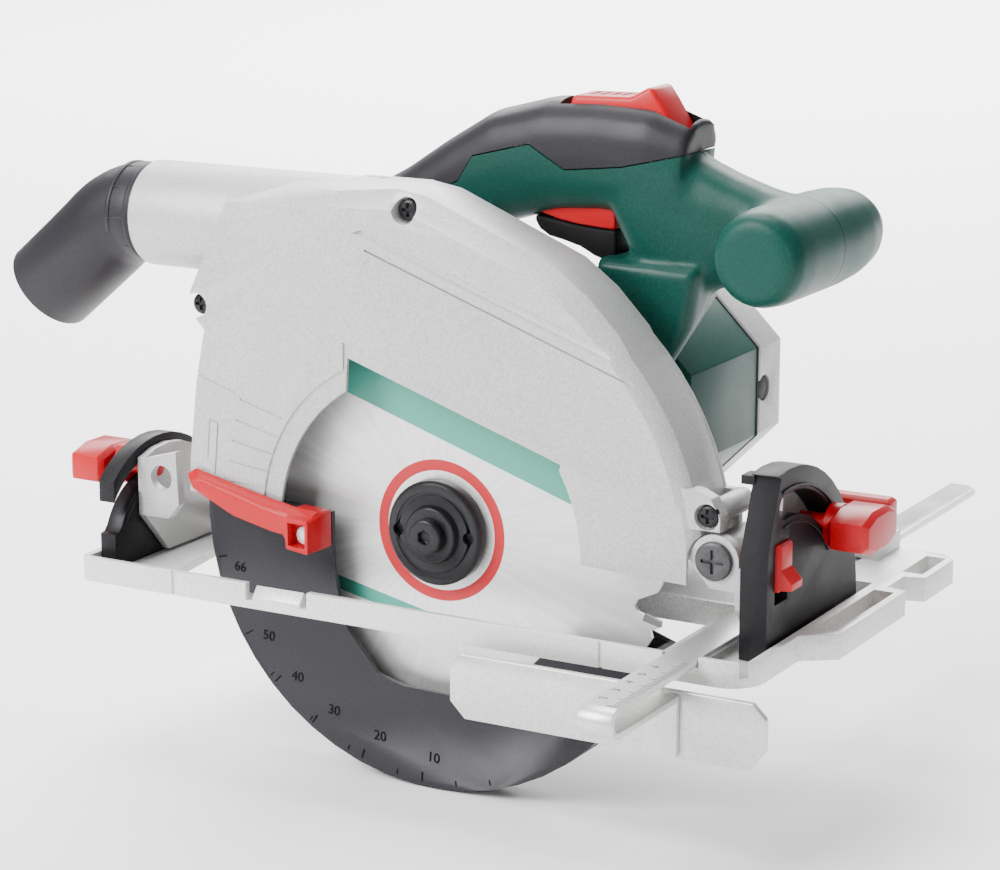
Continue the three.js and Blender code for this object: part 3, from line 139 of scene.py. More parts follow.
def math_node(nodes, links, operation, *values):
    node = nodes.new("ShaderNodeMath")
    node.operation = operation
    for socket, value in zip(node.inputs, values):
        feed(links, socket, value)
    return node.outputs[0]


def vector_math(nodes, links, operation, *values):
    node = nodes.new("ShaderNodeVectorMath")
    node.operation = operation
    for socket, value in zip(node.inputs, values):
        feed(links, socket, value)
    return node.outputs["Value" if operation in ("LENGTH", "DOT_PRODUCT") else "Vector"]


def band(nodes, links, value, middle, half):
    """1 where the value is no further than half from middle, both in millimetres."""
    return math_node(nodes, links, "COMPARE", value, middle * MM, half * MM)


PATCH_SCALE = 22.0
ROUGH_SPREAD = 0.08


def surface(name, colour, rough, metal, grain, depth, strength, mottle, specular=0.5):
    """Moulded, cast or coated stuff: two close tints, fine grain in the bump, uneven gloss."""
    mat, nodes, links, shader = new_material(name)
    coords = nodes.new("ShaderNodeTexCoord").outputs["Object"]
    patches = noise(nodes, links, coords, PATCH_SCALE, 3.0)
    fine = noise(nodes, links, coords, grain, 3.0, 0.6)
    dark = tuple(c * (1.0 - mottle) for c in colour)
    light = tuple(min(1.0, c * (1.0 + mottle)) for c in colour)
    grained = remap(nodes, links, fine, 0.0, 1.0, (0.35, 0.65))
    speck = mix_colour(nodes, links, grained, dark, light)
    tint = mix_colour(nodes, links, remap(nodes, links, patches, 0.0, 0.35), speck, colour)
    links.new(tint, shader.inputs["Base Color"])
    links.new(remap(nodes, links, patches, rough - ROUGH_SPREAD, rough + ROUGH_SPREAD),
              shader.inputs["Roughness"])
    links.new(bump(nodes, links, fine, strength, depth), shader.inputs["Normal"])
    shader.inputs["Metallic"].default_value = metal
    shader.inputs["Specular IOR Level"].default_value = specular
    return mat


PRINT_GREEN = (0.055, 0.30, 0.235)
PRINT_RED = (0.44, 0.001, 0.008)


def blade_material():
    """Ground steel with rings of fine scratches, two printed green bands and a red ring."""
    mat, nodes, links, shader = new_material("blade_steel")
    coords = nodes.new("ShaderNodeTexCoord").outputs["Object"]
    centred = vector_math(nodes, links, "SUBTRACT", coords, SPINDLE)
    flat = vector_math(nodes, links, "MULTIPLY", centred, (1.0, 0.0, 1.0))
    radius = vector_math(nodes, links, "LENGTH", flat)
    split = nodes.new("ShaderNodeSeparateXYZ")
    links.new(flat, split.inputs[0])
    turn = math_node(nodes, links, "ARCTAN2", split.outputs["Z"], split.outputs["X"])

    def polar(radial, angle):
        node = nodes.new("ShaderNodeCombineXYZ")
        links.new(remap(nodes, links, radius, 0.0, radial, (0.0, 0.1)), node.inputs[0])
        links.new(angle, node.inputs[1])
        return node.outputs[0]

    def inked_band(direction, middle, half, reach_along, reach_middle, reach_half):
        across = vector_math(nodes, links, "DOT_PRODUCT", flat, direction)
        return math_node(nodes, links, "MULTIPLY", band(nodes, links, across, middle, half),
                         band(nodes, links, reach_along, reach_middle, reach_half))

    scratch = noise(nodes, links, polar(90.0, turn), 6.0, 6.0, 0.7)
    fanned = remap(nodes, links, turn, -40.0, 40.0, (-3.15, 3.15))
    rays = noise(nodes, links, polar(2.0, fanned), 1.3, 4.0, 0.6)
    steel = mix_colour(nodes, links, remap(nodes, links, rays, 0.0, 1.0, (0.38, 0.62)),
                       (0.70, 0.70, 0.70), (0.80, 0.80, 0.79))
    along_upper = vector_math(nodes, links, "DOT_PRODUCT", flat, (0.95, 0.0, -0.313))
    upper = inked_band((0.313, 0.0, 0.950), 39.8, 6.4, along_upper, -14.0, 61.0)
    lower = inked_band((0.217, 0.0, 0.976), -35.6, 2.6, split.outputs["X"], -30.0, 30.0)
    ring = band(nodes, links, radius, 25.1, 2.1)
    printed = mix_colour(nodes, links, upper, steel, PRINT_GREEN)
    printed = mix_colour(nodes, links, lower, printed, PRINT_GREEN)
    printed = mix_colour(nodes, links, ring, printed, PRINT_RED)
    links.new(printed, shader.inputs["Base Color"])
    inked = math_node(nodes, links, "MAXIMUM", upper, ring)
    links.new(remap(nodes, links, inked, 0.75, 0.05, (0.0, 1.0)), shader.inputs["Metallic"])
    links.new(remap(nodes, links, scratch, 0.36, 0.52), shader.inputs["Roughness"])
    links.new(bump(nodes, links, scratch, 0.2, 0.00002), shader.inputs["Normal"])
    return mat


# Name, colour, roughness, metallic, grain scale, grain depth, bump strength, mottle and, for
# the plastics and the dark metals, a lower specular level.
FINISHES = (
    ("cast_grey", (0.47, 0.47, 0.465), 0.46, 0.30, 1400.0, 0.00008, 0.6, 0.20),
    ("cast_base", (0.68, 0.68, 0.67), 0.42, 0.30, 1100.0, 0.0001, 0.6, 0.18),
    ("steel", (0.62, 0.62, 0.61), 0.34, 0.70, 900.0, 0.00005, 0.5, 0.12),
    ("dark_steel", (0.012, 0.012, 0.014), 0.34, 0.2, 900.0, 0.00004, 0.4, 0.2, 0.3),
    ("green_plastic", (0.0004, 0.045, 0.034), 0.42, 0.0, 1500.0, 0.00010, 0.6, 0.25, 0.22),
    ("black_plastic", (0.0075, 0.0072, 0.0095), 0.48, 0.0, 1300.0, 0.00009, 0.5, 0.25, 0.2),
    ("soft_grip", (0.011, 0.0105, 0.014), 0.46, 0.0, 1600.0, 0.0001, 0.5, 0.25, 0.28),
    ("guard_metal", (0.022, 0.0215, 0.026), 0.44, 0.1, 1500.0, 0.00009, 0.5, 0.22, 0.25),
    ("red_plastic", (0.44, 0.0004, 0.006), 0.38, 0.0, 1200.0, 0.00005, 0.5, 0.12, 0.3),
    ("copper", (0.60, 0.28, 0.14), 0.35, 0.8, 900.0, 0.00004, 0.4, 0.1),
    ("marking_grey", (0.003, 0.003, 0.004), 0.6, 0.0, 1500.0, 0.00005, 0.4, 0.1, 0.1),
    ("deep_black", (0.004, 0.004, 0.005), 0.6, 0.0, 1500.0, 0.00005, 0.4, 0.2, 0.15),
    ("scale_grey", (0.14, 0.14, 0.14), 0.5, 0.2, 900.0, 0.00004, 0.4, 0.15),
    ("pivot_grey", (0.06, 0.06, 0.065), 0.38, 0.5, 900.0, 0.00004, 0.4, 0.15),
    ("carbide", (0.22, 0.22, 0.23), 0.35, 0.6, 900.0, 0.00003, 0.4, 0.1),
)
LOOKS = {finish[0]: surface(*finish) for finish in FINISHES}
LOOKS["blade_steel"] = blade_material()


# ---------------------------------------------------------------- shape tools
def link(mesh, name="work"):
    obj = bpy.data.objects.new(name, mesh)
    bpy.context.scene.collection.objects.link(obj)
    return obj


def from_bmesh(bm, name="work"):
    bmesh.ops.recalc_face_normals(bm, faces=bm.faces[:])
    mesh = bpy.data.meshes.new(name)
    bm.to_mesh(mesh)
    bm.free()
    return link(mesh, name)


def axis_point(axis, u, v, w):
    return {"x": (w, u, v), "y": (u, w, v), "z": (u, v, w)}[axis]


def skirt(bm, low, high):
    """Faces between two rings of vertices."""
    for i in range(len(low)):
        j = (i + 1) % len(low)
        bm.faces.new((low[i], low[j], high[j], high[i]))


def tube_solid(rings):
    """Closed solid through rings of equally many points."""
    bm = bmesh.new()
    made = [[bm.verts.new(point) for point in ring] for ring in rings]
    for low, high in zip(made, made[1:]):
        skirt(bm, low, high)
    bm.faces.new(made[0])
    bm.faces.new(made[-1])
    return from_bmesh(bm)


def loft(levels, axis="y"):
    """Solid through outlines of equal point count: [(w, [(u, v), ...]), ...]."""
    return tube_solid([[axis_point(axis, u, v, w) for u, v in outline] for w, outline in levels])


def prism(outline, axis, low, high):
    return loft([(low, outline), (high, outline)], axis)


def block(x0, x1, y0, y1, z0, z1):
    return prism([(x0, z0), (x1, z0), (x1, z1), (x0, z1)], "y", y0, y1)


def arc(cu, cv, r, start, end, steps):
    turns = [math.radians(start + (end - start) * i / steps) for i in range(steps + 1)]
    return [(cu + r * math.cos(t), cv + r * math.sin(t)) for t in turns]


def circle(cu, cv, r, steps=32):
    return arc(cu, cv, r, 0, 360 - 360 / steps, steps - 1)


def sector(cu, cv, inner, outer, start, end, steps):
    return arc(cu, cv, outer, start, end, steps) + arc(cu, cv, inner, end, start, steps)


def rod(r, axis, low, high, at, steps=32):
    return prism(circle(at[0], at[1], r, steps), axis, low, high)


def turned(profile, axis, at, steps=40):
    """Solid of revolution from (radius, w) pairs that start and end on the axis."""
    levels = [(w, circle(at[0], at[1], max(r, 0.01), steps)) for r, w in profile]
    return loft(levels, axis)


def turn_about(obj, axis, at, angle):
    """Turns a shape about a line along the axis; at is where the line crosses its plane."""
    centre = Vector(axis_point(axis, at[0], at[1], 0.0))
    obj.data.transform(Matrix.Translation(centre) @ Matrix.Rotation(angle, 4, axis.upper())
                       @ Matrix.Translation(-centre))
    return obj


def bake(obj):
    graph = bpy.context.evaluated_depsgraph_get()
    mesh = bpy.data.meshes.new_from_object(obj.evaluated_get(graph))
    obj.modifiers.clear()
    obj.data = mesh
    return obj


def combine(target, tools, operation):
    for tool in tools:
        mod = target.modifiers.new("join", "BOOLEAN")
        mod.operation = operation
        mod.solver = "MANIFOLD"
        mod.object = tool
    bake(target)
    for tool in tools:
        bpy.data.objects.remove(tool)
    return target


def cut(target, *tools):
    return combine(target, tools, "DIFFERENCE")


def join(target, *tools):
    return combine(target, tools, "UNION")


def common(target, tool):
    return combine(target, [tool], "INTERSECT")


def duplicate(obj):
    return link(obj.data.copy())


def merge_loose(*objs):
    """One object out of several separate solids, with no boolean."""
    bm = bmesh.new()
    for obj in objs:
        bm.from_mesh(obj.data)
        bpy.data.objects.remove(obj)
    return from_bmesh(bm)


def inset(outline, d):
    """Moves each corner inwards by d; the outline runs round a mostly convex shape."""
    area = sum(a[0] * b[1] - b[0] * a[1] for a, b in zip(outline, outline[1:] + outline[:1]))
    side = 1.0 if area > 0 else -1.0
    moved = []
    for i, point in enumerate(outline):
        before = Vector(point) - Vector(outline[i - 1])
        after = Vector(outline[(i + 1) % len(outline)]) - Vector(point)
        n1 = Vector((-before.y, before.x)).normalized() * side
        n2 = Vector((-after.y, after.x)).normalized() * side
        mitre = (n1 + n2).normalized()
        moved.append(tuple(Vector(point) + mitre * d / max(0.5, mitre.dot(n1))))
    return moved


FLAT_ANGLE = 0.6


def soften(obj, width, segments=2, angle=28.0):
    """Joins flat faces and rounds every edge that is sharper than the angle."""
    bm = bmesh.new()
    bm.from_mesh(obj.data)
    bmesh.ops.remove_doubles(bm, verts=bm.verts, dist=width * 0.02)
    bmesh.ops.dissolve_limit(bm, angle_limit=math.radians(FLAT_ANGLE), verts=bm.verts,
                             edges=bm.edges)
    bm.to_mesh(obj.data)
    bm.free()
    mod = obj.modifiers.new("edge", "BEVEL")
    mod.width = width
    mod.segments = segments
    mod.limit_method = "ANGLE"
    mod.angle_limit = math.radians(angle)
    mod.use_clamp_overlap = True
    return bake(obj)


def settle(obj, name, look, body, slot, nodes=(), smooth=32.0):
    """Moves a finished millimetre shape into the row frame and hangs it on its body."""
    obj.data.transform(Matrix.Translation(SPINDLE) @ Matrix.Scale(MM, 4))
    obj.name = name
    obj.data.name = name
    obj.data.materials.clear()
    obj.data.materials.append(look)
    obj.data.polygons.foreach_set("use_smooth", [True] * len(obj.data.polygons))
    obj.data.set_sharp_from_angle(angle=math.radians(smooth))
    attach(obj, body)
    if nodes:
        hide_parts(*nodes)
    return obj


WELD = 0.002


def refine(node, width, name=None, extra=None):
    """The CAD node's own shape with real edge radii and smooth round faces."""
    mesh = frame["nodes"][node].data.copy()
    mesh.transform(Matrix.Scale(1 / MM, 4) @ Matrix.Translation(-SPINDLE))
    obj = link(mesh)
    bm = bmesh.new()
    bm.from_mesh(mesh)
    bmesh.ops.remove_doubles(bm, verts=bm.verts, dist=WELD)
    bm.to_mesh(mesh)
    bm.free()
    if extra:
        obj = extra(obj)
    soften(obj, width)
    return settle(obj, name or node + "_finished", LOOKS[SLOT_OF[node]], BODY_OF[node],
                  SLOT_OF[node], (node,))


# ---------------------------------------------------------------- upper guard
GUARD_WALL = 2.4
GUARD_REAR = [(-103.2, 6.0), (-102.6, 19.3), (-99.0, 50.0), (-95.0, 70.0), (-100.4, 76.0),
              (-101.2, 84.0), (-96.5, 94.0), (-84.0, 120.0)]
# y: (radius of the round front, the roof from the rear to the front)
GUARD_SECTIONS = {
    -17.0: (108.2, [(-60, 120.8), (-38, 121.5), (-13, 122.0), (-1, 120.0), (25, 110.2),
                    (51, 99.8), (64, 89.5), (75, 79.5)]),
    -14.5: (111.5, [(-60, 123.0), (-38, 124.2), (-12, 125.0), (0, 123.4), (26, 113.4),
                    (52, 102.8), (65, 93.0), (77, 81.8)]),
    -12.0: (113.8, [(-60, 124.6), (-38, 126.6), (-11, 129.4), (2, 127.2), (27.5, 116.8),
                    (53.7, 106.2), (67, 96.6), (79.6, 84.0)]),
    -5.0: (113.8, [(-60, 127.4), (-38, 128.8), (-11, 129.9), (2, 127.8), (27.5, 117.4),
                   (53.7, 106.8), (67, 97.0), (79.8, 84.2)]),
    3.0: (113.8, [(-60, 128.6), (-38, 129.6), (-11, 129.9), (2, 127.8), (27.5, 117.4),
                  (53.7, 106.8), (67, 97.0), (79.8, 84.2)]),
    12.0: (113.4, [(-60, 127.6), (-38, 128.8), (-11, 129.6), (2, 127.5), (27.5, 117.0),
                   (53.7, 106.4), (67, 96.6), (79.4, 83.8)]),
}


def guard_levels(wall=0.0):
    """Outlines from the side face over the sloping edge to the flat rim, or of the hollow."""
    levels = []
    for y, (radius, roof) in GUARD_SECTIONS.items():
        step_in = 0.6 if y < -13 else 0.0
        rear = [(x + step_in, z) for x, z in GUARD_REAR]
        levels.append((y, rear + roof + arc(*HUB, radius, 42, -1, 22)))
    if not wall:
        return levels
    inner = [inset(outline, wall) for _, outline in levels]
    depths = [-17.0 + wall, -14.5 + wall * 0.6, -12.0 + wall * 0.3, -5.0, 3.0, 13.0]
    return list(zip(depths, inner))


def groove(x0, z0, x1, z1, width, low, high):
    """Narrow bar between two points of the side face, from y = low to y = high."""
    along_line = Vector((x1 - x0, z1 - z0)).normalized()
    side = Vector((-along_line.y, along_line.x)) * width / 2
    corners = [(x0 + side.x, z0 + side.y), (x0 - side.x, z0 - side.y),
               (x1 - side.x, z1 - side.y), (x1 + side.x, z1 + side.y)]
    return prism(corners, "y", low, high)


# Shallow lines near the rear edge: both ends (x, z), the width, and y at the line's floor.
GUARD_LINES = (
    (-78.7, 44.8, -59.5, 39.4, 0.8, -16.5), (-80.5, 36.6, -61.5, 31.9, 0.8, -16.5),
    (-82.3, 28.2, -63.4, 24.9, 0.8, -16.5), (-83.1, 20.1, -64.8, 17.8, 0.8, -16.5),
    (-83.3, 11.9, -65.4, 10.6, 0.8, -16.5), (-98.6, 52.7, -80.8, 47.0, 0.8, -16.5),
    (-88.7, 35.2, -90.6, 13.8, 0.9, -16.5), (-92.5, 35.2, -88.7, 34.6, 0.9, -16.5),
    (-92.5, 35.2, -94.0, 20.3, 0.6, -16.6))


def guard_face_tools():
    """The blade window with its stepped frame, and the two long lines above it."""
    window = (arc(*HUB, 61.5, 196, 121, 18) + [(-31, 65.6), (58.9, 35.6)]
              + arc(*HUB, 67, 30, -14, 8) + [(67, -40), (-61, -40)])
    frame_edge = (arc(*HUB, 69, 190, 118, 20)
                  + [(-32.3, 71.3), (108, 25.6), (125, 20), (125, -10), (69, -20), (-69, -20)])
    long_groove = loft([(-17.2, [(-28.6, 112.0), (-24.3, 114.0), (76.0, 80.3), (82.4, 73.4)]),
                        (-15.6, [(-26.4, 112.6), (-24.0, 113.3), (75.2, 79.8), (77.6, 77.0)])])
    return [prism(window, "y", -18.0, -13.5), prism(frame_edge, "y", -18.0, -16.15), long_groove,
            groove(-22.5, 106.5, 86.5, 68.0, 0.8, -18.0, -15.7)]


def make_upper_guard():
    hollow = loft(guard_levels(GUARD_WALL))
    below = block(-100.3, 110.4, -14.6, 13, -20, 8)
    sweep_room = rod(100.0, "y", -11.1, 13, HUB, 96)
    lines = [groove(x0, z0, x1, z1, width, -18, floor)
             for x0, z0, x1, z1, width, floor in GUARD_LINES]
    tube_room = rod(20.8, "x", -150, -29, TUBE_AT, 48)
    shell = cut(loft(guard_levels()), hollow, below, *guard_face_tools(), sweep_room, *lines,
                tube_room)
    bosses = merge_loose(*[rod(6.6, "y", -15.4, 11.9, at, 28) for at in SCREWS])
    shell = join(shell, common(bosses, loft(guard_levels())))
    holes = [rod(4.9, "y", -19, -10.0, at, 28) for at in SCREWS]
    holes += [rod(2.3, "y", -11, 14, at, 16) for at in SCREWS]
    shell = cut(shell, *holes)
    lug_side = [(103.5, 18.6), (121.2, 18.6), (121.2, 24), (117.5, 30), (112, 32.5), (101.5, 33)]
    lug = prism(lug_side, "y", -15.0, -8.2)
    return cut(join(shell, lug), rod(10.0, "y", -20, 14, PIVOT_AT, 40),
               block(109, 142, -20, 14, -20, 8), rod(4.8, "y", -18, -11.9, FRONT_SCREW_AT, 28),
               rod(4.9, "y", -8.0, 14, FRONT_SCREW_AT, 28),
               rod(2.3, "y", -13, 14, FRONT_SCREW_AT, 16))


guard = soften(make_upper_guard(), 0.55, 2)
settle(guard, "upper_guard_casting", LOOKS["cast_grey"], "head", "cast_grey", ("upper_guard",))


# ---------------------------------------------------------------- handle
HANDLE_Y = 46.0
SKIN_VOXEL = 1.4
SKIN_ROUNDS = 8


def smooth_blob(obj):
    """One skin over overlapping solids, with the seams between them eased."""
    remesh = obj.modifiers.new("skin", "REMESH")
    remesh.mode = "VOXEL"
    remesh.voxel_size = SKIN_VOXEL
    ease = obj.modifiers.new("ease", "SMOOTH")
    ease.factor = 0.5
    ease.iterations = SKIN_ROUNDS
    return bake(obj)


def section_body(stations, steps=20):
    """Tube of rounded-box sections; each station is (x, z, tall, wide, tilt in degrees)."""
    rings = []
    for x, z, tall, wide, tilt in stations:
        ring = []
        t = math.radians(tilt)
        for i in range(steps):
            a = 2 * math.pi * i / steps
            c, s = math.cos(a), math.sin(a)
            y = math.copysign(abs(c) ** 0.75, c) * wide / 2
            h = math.copysign(abs(s) ** 0.75, s) * tall / 2
            ring.append((x - h * math.sin(t), HANDLE_Y + y, z + h * math.cos(t)))
        rings.append(ring)
    return tube_solid(rings)


def make_handle_skin():
    grip = section_body([
        (-61.5, 106, 17, 24, 4), (-48, 110.5, 24, 30, 20), (-30, 116, 31, 33, 30),
        (-12, 124.5, 37, 33.5, 28), (6, 133, 42, 33.5, 18), (26, 138.2, 42.5, 33.5, 6),
        (46, 139.3, 42, 33.5, 0), (66, 138, 43, 33, -4), (81, 134, 40, 30, -10)])
    front = section_body([
        (53, 132, 36, 29, 0), (61, 128, 60, 31.5, 0), (68, 122, 68, 31.5, 0),
        (76, 117, 60, 29.5, 0), (86, 115, 50, 28, 0), (98, 115, 40, 27, 0),
        (110, 113.5, 35, 27, 0), (124, 112, 32, 27, 0)])
    stem = loft([
        (28.5, [(50, 101), (49, 96), (56, 84), (63, 70), (69, 58), (73, 56), (78, 66), (84, 80),
                (88, 100)]),
        (33.0, [(48, 103), (47, 97), (54, 84), (61, 69), (67, 57), (72, 54), (78, 64), (86, 78),
                (90, 102)]),
        (58.0, [(48, 103), (47, 97), (58, 93), (64, 91), (70, 90), (74, 88), (78, 87), (85, 88),
                (89, 102)]),
        (62.5, [(52, 103), (52, 98), (58, 95), (64, 94), (70, 93), (74, 92), (78, 92), (83, 94),
                (86, 102)])])
    barrel = turned([(0.0, 6.0), (12.0, 6.2), (15.2, 7.6), (17.2, 11.5), (18.0, 20), (18.0, 62),
                     (17.3, 76), (15.6, 87), (12.6, 95), (7.8, 100), (0.0, 101.7)], "y",
                    (122, 111))
    return smooth_blob(merge_loose(grip, front, stem, barrel))


# The line between the soft grip and the green shells, and the lock-off button's side view.
SPLIT = [(-75, 103), (-30, 117.5), (-10, 127.3), (-4, 137), (20, 143), (35, 134.5), (58, 137),
         (84, 143), (104, 147)]
SEAM = 0.5
HALF_SEAM = 0.18
LOCK = [(31, 152), (78, 148), (70, 160.5), (66, 166), (58, 161.5), (34, 161)]


def motor_clearance():
    drum = turn_about(rod(45.9, "y", 45, 112, MOTOR_AT, 8), "y", MOTOR_AT, math.radians(22.5))
    return [rod(39.5, "y", 10, 50, MOTOR_AT, 48), rod(26, "y", 10, 50, (19.3, 21.4), 40), drum]


def make_handle():
    lock_room = prism([(29.5, 150.5), (60, 149.5), (82.5, 147.5), (82.5, 175), (29.5, 175)],
                      "y", 36.7, 55.3)
    trigger_room = prism([(17.7, 127.5), (52.3, 127.5), (52.3, 99.7), (40, 100.7), (23.7, 105.7),
                          (17.7, 111.7)], "y", 37.7, 54.3)
    gland_room = rod(7.3, "x", -90, -58, (HANDLE_Y, 107), 28)
    skin = cut(make_handle_skin(), lock_room, trigger_room, gland_room, *motor_clearance())
    upper = SPLIT[::-1] + [(-75, 180), (104, 180)]
    grip = common(duplicate(skin), prism(upper, "y", -10, 110))
    lifted = [(x, z - SEAM) for x, z in SPLIT]
    shell = cut(skin, prism(lifted[::-1] + [(-75, 190), (104, 190)], "y", -20, 120))
    near = cut(duplicate(shell), block(-200, 300, HANDLE_Y - HALF_SEAM, 200, 0, 300))
    far = cut(shell, block(-200, 300, -50, HANDLE_Y + HALF_SEAM, 0, 300))
    settle(grip, "soft_grip_cover", LOOKS["soft_grip"], "head", "soft_grip", ("soft_grip",), 42)
    settle(near, "handle_half_near", LOOKS["green_plastic"], "head", "green_plastic",
           ("handle_shell_near",), 45)
    settle(far, "handle_half_far", LOOKS["green_plastic"], "head", "green_plastic",
           ("handle_shell_far",), 45)


make_handle()


def make_lock_off():
    body = soften(prism(LOCK, "y", 37.2, 54.8), 2.0, 3)
    slots = [block(39 + 4.2 * i, 40.5 + 4.2 * i, 41.5, 50.5, 159.6 + 0.02 * i, 164)
             for i in range(4)]
    return cut(body, *slots)


settle(soften(make_lock_off(), 0.25, 1), "lock_off_button", LOOKS["red_plastic"], "lock_off_body",
       "red_plastic", ("lock_off_slider",))


def make_trigger():
    outline = [(18, 122.5), (52, 122.5), (52, 101), (47.5, 100.2), (43, 101.6), (37, 104.6),
               (30, 106.4), (24, 107.6), (20, 110), (18, 113)]
    top_side = [(18.2, 122.4), (51.8, 122.4), (51.8, 112), (44, 112.4), (36, 113), (28, 114.2),
                (18.2, 117)]
    above_pad = [(10, 130), (60, 130), (60, 111.6), (44, 112), (36, 112.6), (28, 113.8),
                 (10, 116.6)]
    upper = soften(prism(top_side, "y", 38, 54), 1.2, 3)
    lower = cut(prism(outline, "y", 38.4, 53.6), prism(above_pad, "y", 30, 60))
    settle(upper, "trigger_top", LOOKS["red_plastic"], "trigger_body", "red_plastic", ("trigger",))
    settle(soften(lower, 1.2, 3), "trigger_pad", LOOKS["deep_black"], "trigger_body",
           "black_plastic")


make_trigger()


# ---------------------------------------------------------------- blade and flanges
TEETH = 24
# One tooth of the plate: radius, and the share of the way to the next tooth.
TOOTH = ((94.2, 0.0), (93.6, 0.05), (84.5, 0.12), (82.8, 0.20), (83.4, 0.30), (86.5, 0.40),
         (90.8, 0.52), (92.4, 0.66), (92.9, 0.80), (91.6, 0.88), (91.2, 0.93), (93.4, 0.955))


def make_blade():
    step = 360.0 / TEETH
    outline = []
    for i in range(TEETH):
        for radius, share in TOOTH:
            t = math.radians(step * i + step * share)
            outline.append((radius * math.cos(t), radius * math.sin(t)))
    slots = [turn_about(block(74, 90, -2, 2, -0.35, 0.35), "y", HUB, -math.radians(45 + 90 * i))
             for i in range(4)]
    plate = cut(prism(outline, "y", -0.8, 0.8), rod(15.0, "y", -3, 3, HUB, 64), *slots)
    tip_side = [(94.9, 0.3), (94.4, 2.4), (87.6, 2.9), (87.3, 0.1)]
    tips = [turn_about(prism(tip_side, "y", -1.0, 1.0), "y", HUB, -math.radians(step * i))
            for i in range(TEETH)]
    settle(soften(plate, 0.12, 1, 40), "blade_plate", LOOKS["blade_steel"], "arbor",
           "blade_steel", ("saw_blade",))
    settle(soften(merge_loose(*tips), 0.1, 1), "blade_tips", LOOKS["carbide"], "arbor",
           "blade_steel")


make_blade()


def make_flange():
    body = turned([(0, -1.2), (19.7, -1.2), (20, -1.6), (20, -5.6), (18.8, -6.7), (11.2, -6.7),
                   (10.6, -9.3), (10.1, -9.7), (0, -9.7)], "y", HUB, 64)
    groove_ring = cut(rod(16.2, "y", -8, -6.2, HUB, 48), rod(14.8, "y", -9, -5, HUB, 48))
    holes = [rod(2.3, "y", -8, -3.5, (side * 15.0, 0), 20) for side in (-1, 1)]
    bore = rod(4.4, "y", -11, 0, HUB, 28)
    return cut(body, bore, groove_ring, *holes)


settle(soften(make_flange(), 0.3, 2), "outer_flange_turned", LOOKS["dark_steel"], "arbor",
       "dark_steel", ("outer_flange",))


# ---------------------------------------------------------------- lower guard and lever
def digits(text, size, centre=(0, 0), y=0.0, turn=0.0):
    """Raised generic scale number lying along the blade's plane, facing the near side."""
    curve = bpy.data.curves.new("number", "FONT")
    curve.body = text
    curve.size = size
    curve.align_x = "CENTER"
    curve.align_y = "CENTER"
    curve.extrude = 0.12
    obj = bpy.data.objects.new("number", curve)
    bpy.context.scene.collection.objects.link(obj)
    upright = Matrix.Rotation(math.radians(90), 4, "X")
    obj.matrix_world = (Matrix.Translation((centre[0], y, centre[1]))
                        @ Matrix.Rotation(-turn, 4, "Y") @ upright)
    bpy.context.view_layer.update()
    graph = bpy.context.evaluated_depsgraph_get()
    mesh = bpy.data.meshes.new_from_object(obj.evaluated_get(graph))
    mesh.transform(obj.matrix_world)
    bpy.data.objects.remove(obj)
    return link(mesh, "number")


SCALE_MARKS = {66: (-88.4, -24.7), 50: (-75.1, -51.8), 40: (-61.5, -67.0), 30: (-44.3, -78.4),
               20: (-22.7, -85.6), 10: (2.1, -90.4)}
SHORT_TICKS = (203, 222.5, 236.5, 248, 261.5, 277, 286)


def make_scale():
    def tick(angle, inner, width):
        c, s = math.cos(angle), math.sin(angle)
        return groove(96.6 * c, 96.6 * s, inner * c, inner * s, width, -10.75, -10.4)

    parts = []
    for value, (x, z) in SCALE_MARKS.items():
        parts.append(tick(math.atan2(z, x) - math.radians(3.2), 92.8, 0.5))
        parts.append(digits(str(value), 5.6, (x * 0.955, z * 0.955), -10.62, math.radians(-4)))
    parts += [tick(math.radians(angle), 94.6, 0.4) for angle in SHORT_TICKS]
    settle(merge_loose(*parts), "depth_scale", LOOKS["marking_grey"], "pendulum_guard",
           "guard_metal")


make_scale()


def make_lever():
    """Finger bar with a sloping top face, and a deep open box round the screw."""
    front = [(-97.8, 11.5), (-92.8, 12.2), (-66, 5.0), (-54, 2.6), (-46.6, 1.6), (-46.0, -8.6),
             (-54.5, -7.2), (-56.6, -4.0), (-62, -3.4), (-79, 0.4), (-96.5, 8.4)]
    back = [(-102.6, 13.4), (-98.6, 15.8), (-68, 9.0), (-54, 6.4), (-43.4, 5.4), (-42.0, -8.2),
            (-53, -8.4), (-57.0, -4.4), (-62, -3.6), (-79, 0.6), (-101, 9.4)]
    middle = [((a + c) / 2, (b + d) / 2) for (a, b), (c, d) in zip(front, back)]
    bar = loft([(-22.6, front), (-21.2, middle), (-18.2, back)])
    box = loft([(-24.5, [(-54.6, 2.9), (-45.0, 2.6), (-44.2, 1.8), (-44.2, -9.6), (-45.0, -10.0),
                         (-54.0, -8.8)]),
                (-17.2, [(-54.6, 5.5), (-43.5, 4.9), (-42.6, 4.0), (-42.6, -9.4), (-43.6, -9.8),
                         (-54.0, -8.8)]),
                (-10.9, [(-54.0, 5.5), (-43.0, 4.9), (-42.2, 4.0), (-42.2, -9.0), (-43.0, -9.4),
                         (-53.4, -8.6)])])
    body = soften(join(bar, box), 0.7, 3, 24)
    recess = loft([(-25.5, [(-53.2, 1.5), (-45.7, 1.3), (-45.7, -8.4), (-53.0, -7.4)]),
                   (-20.1, [(-52.8, 1.2), (-44.9, 1.0), (-44.9, -8.2), (-52.6, -7.2)])])
    return cut(body, recess, rod(1.95, "y", -21, -9, (-47.5, -3.5), 20))


settle(soften(make_lever(), 0.25, 1), "lever_moulding", LOOKS["red_plastic"], "pendulum_guard",
       "red_plastic", ("pull_lever",))


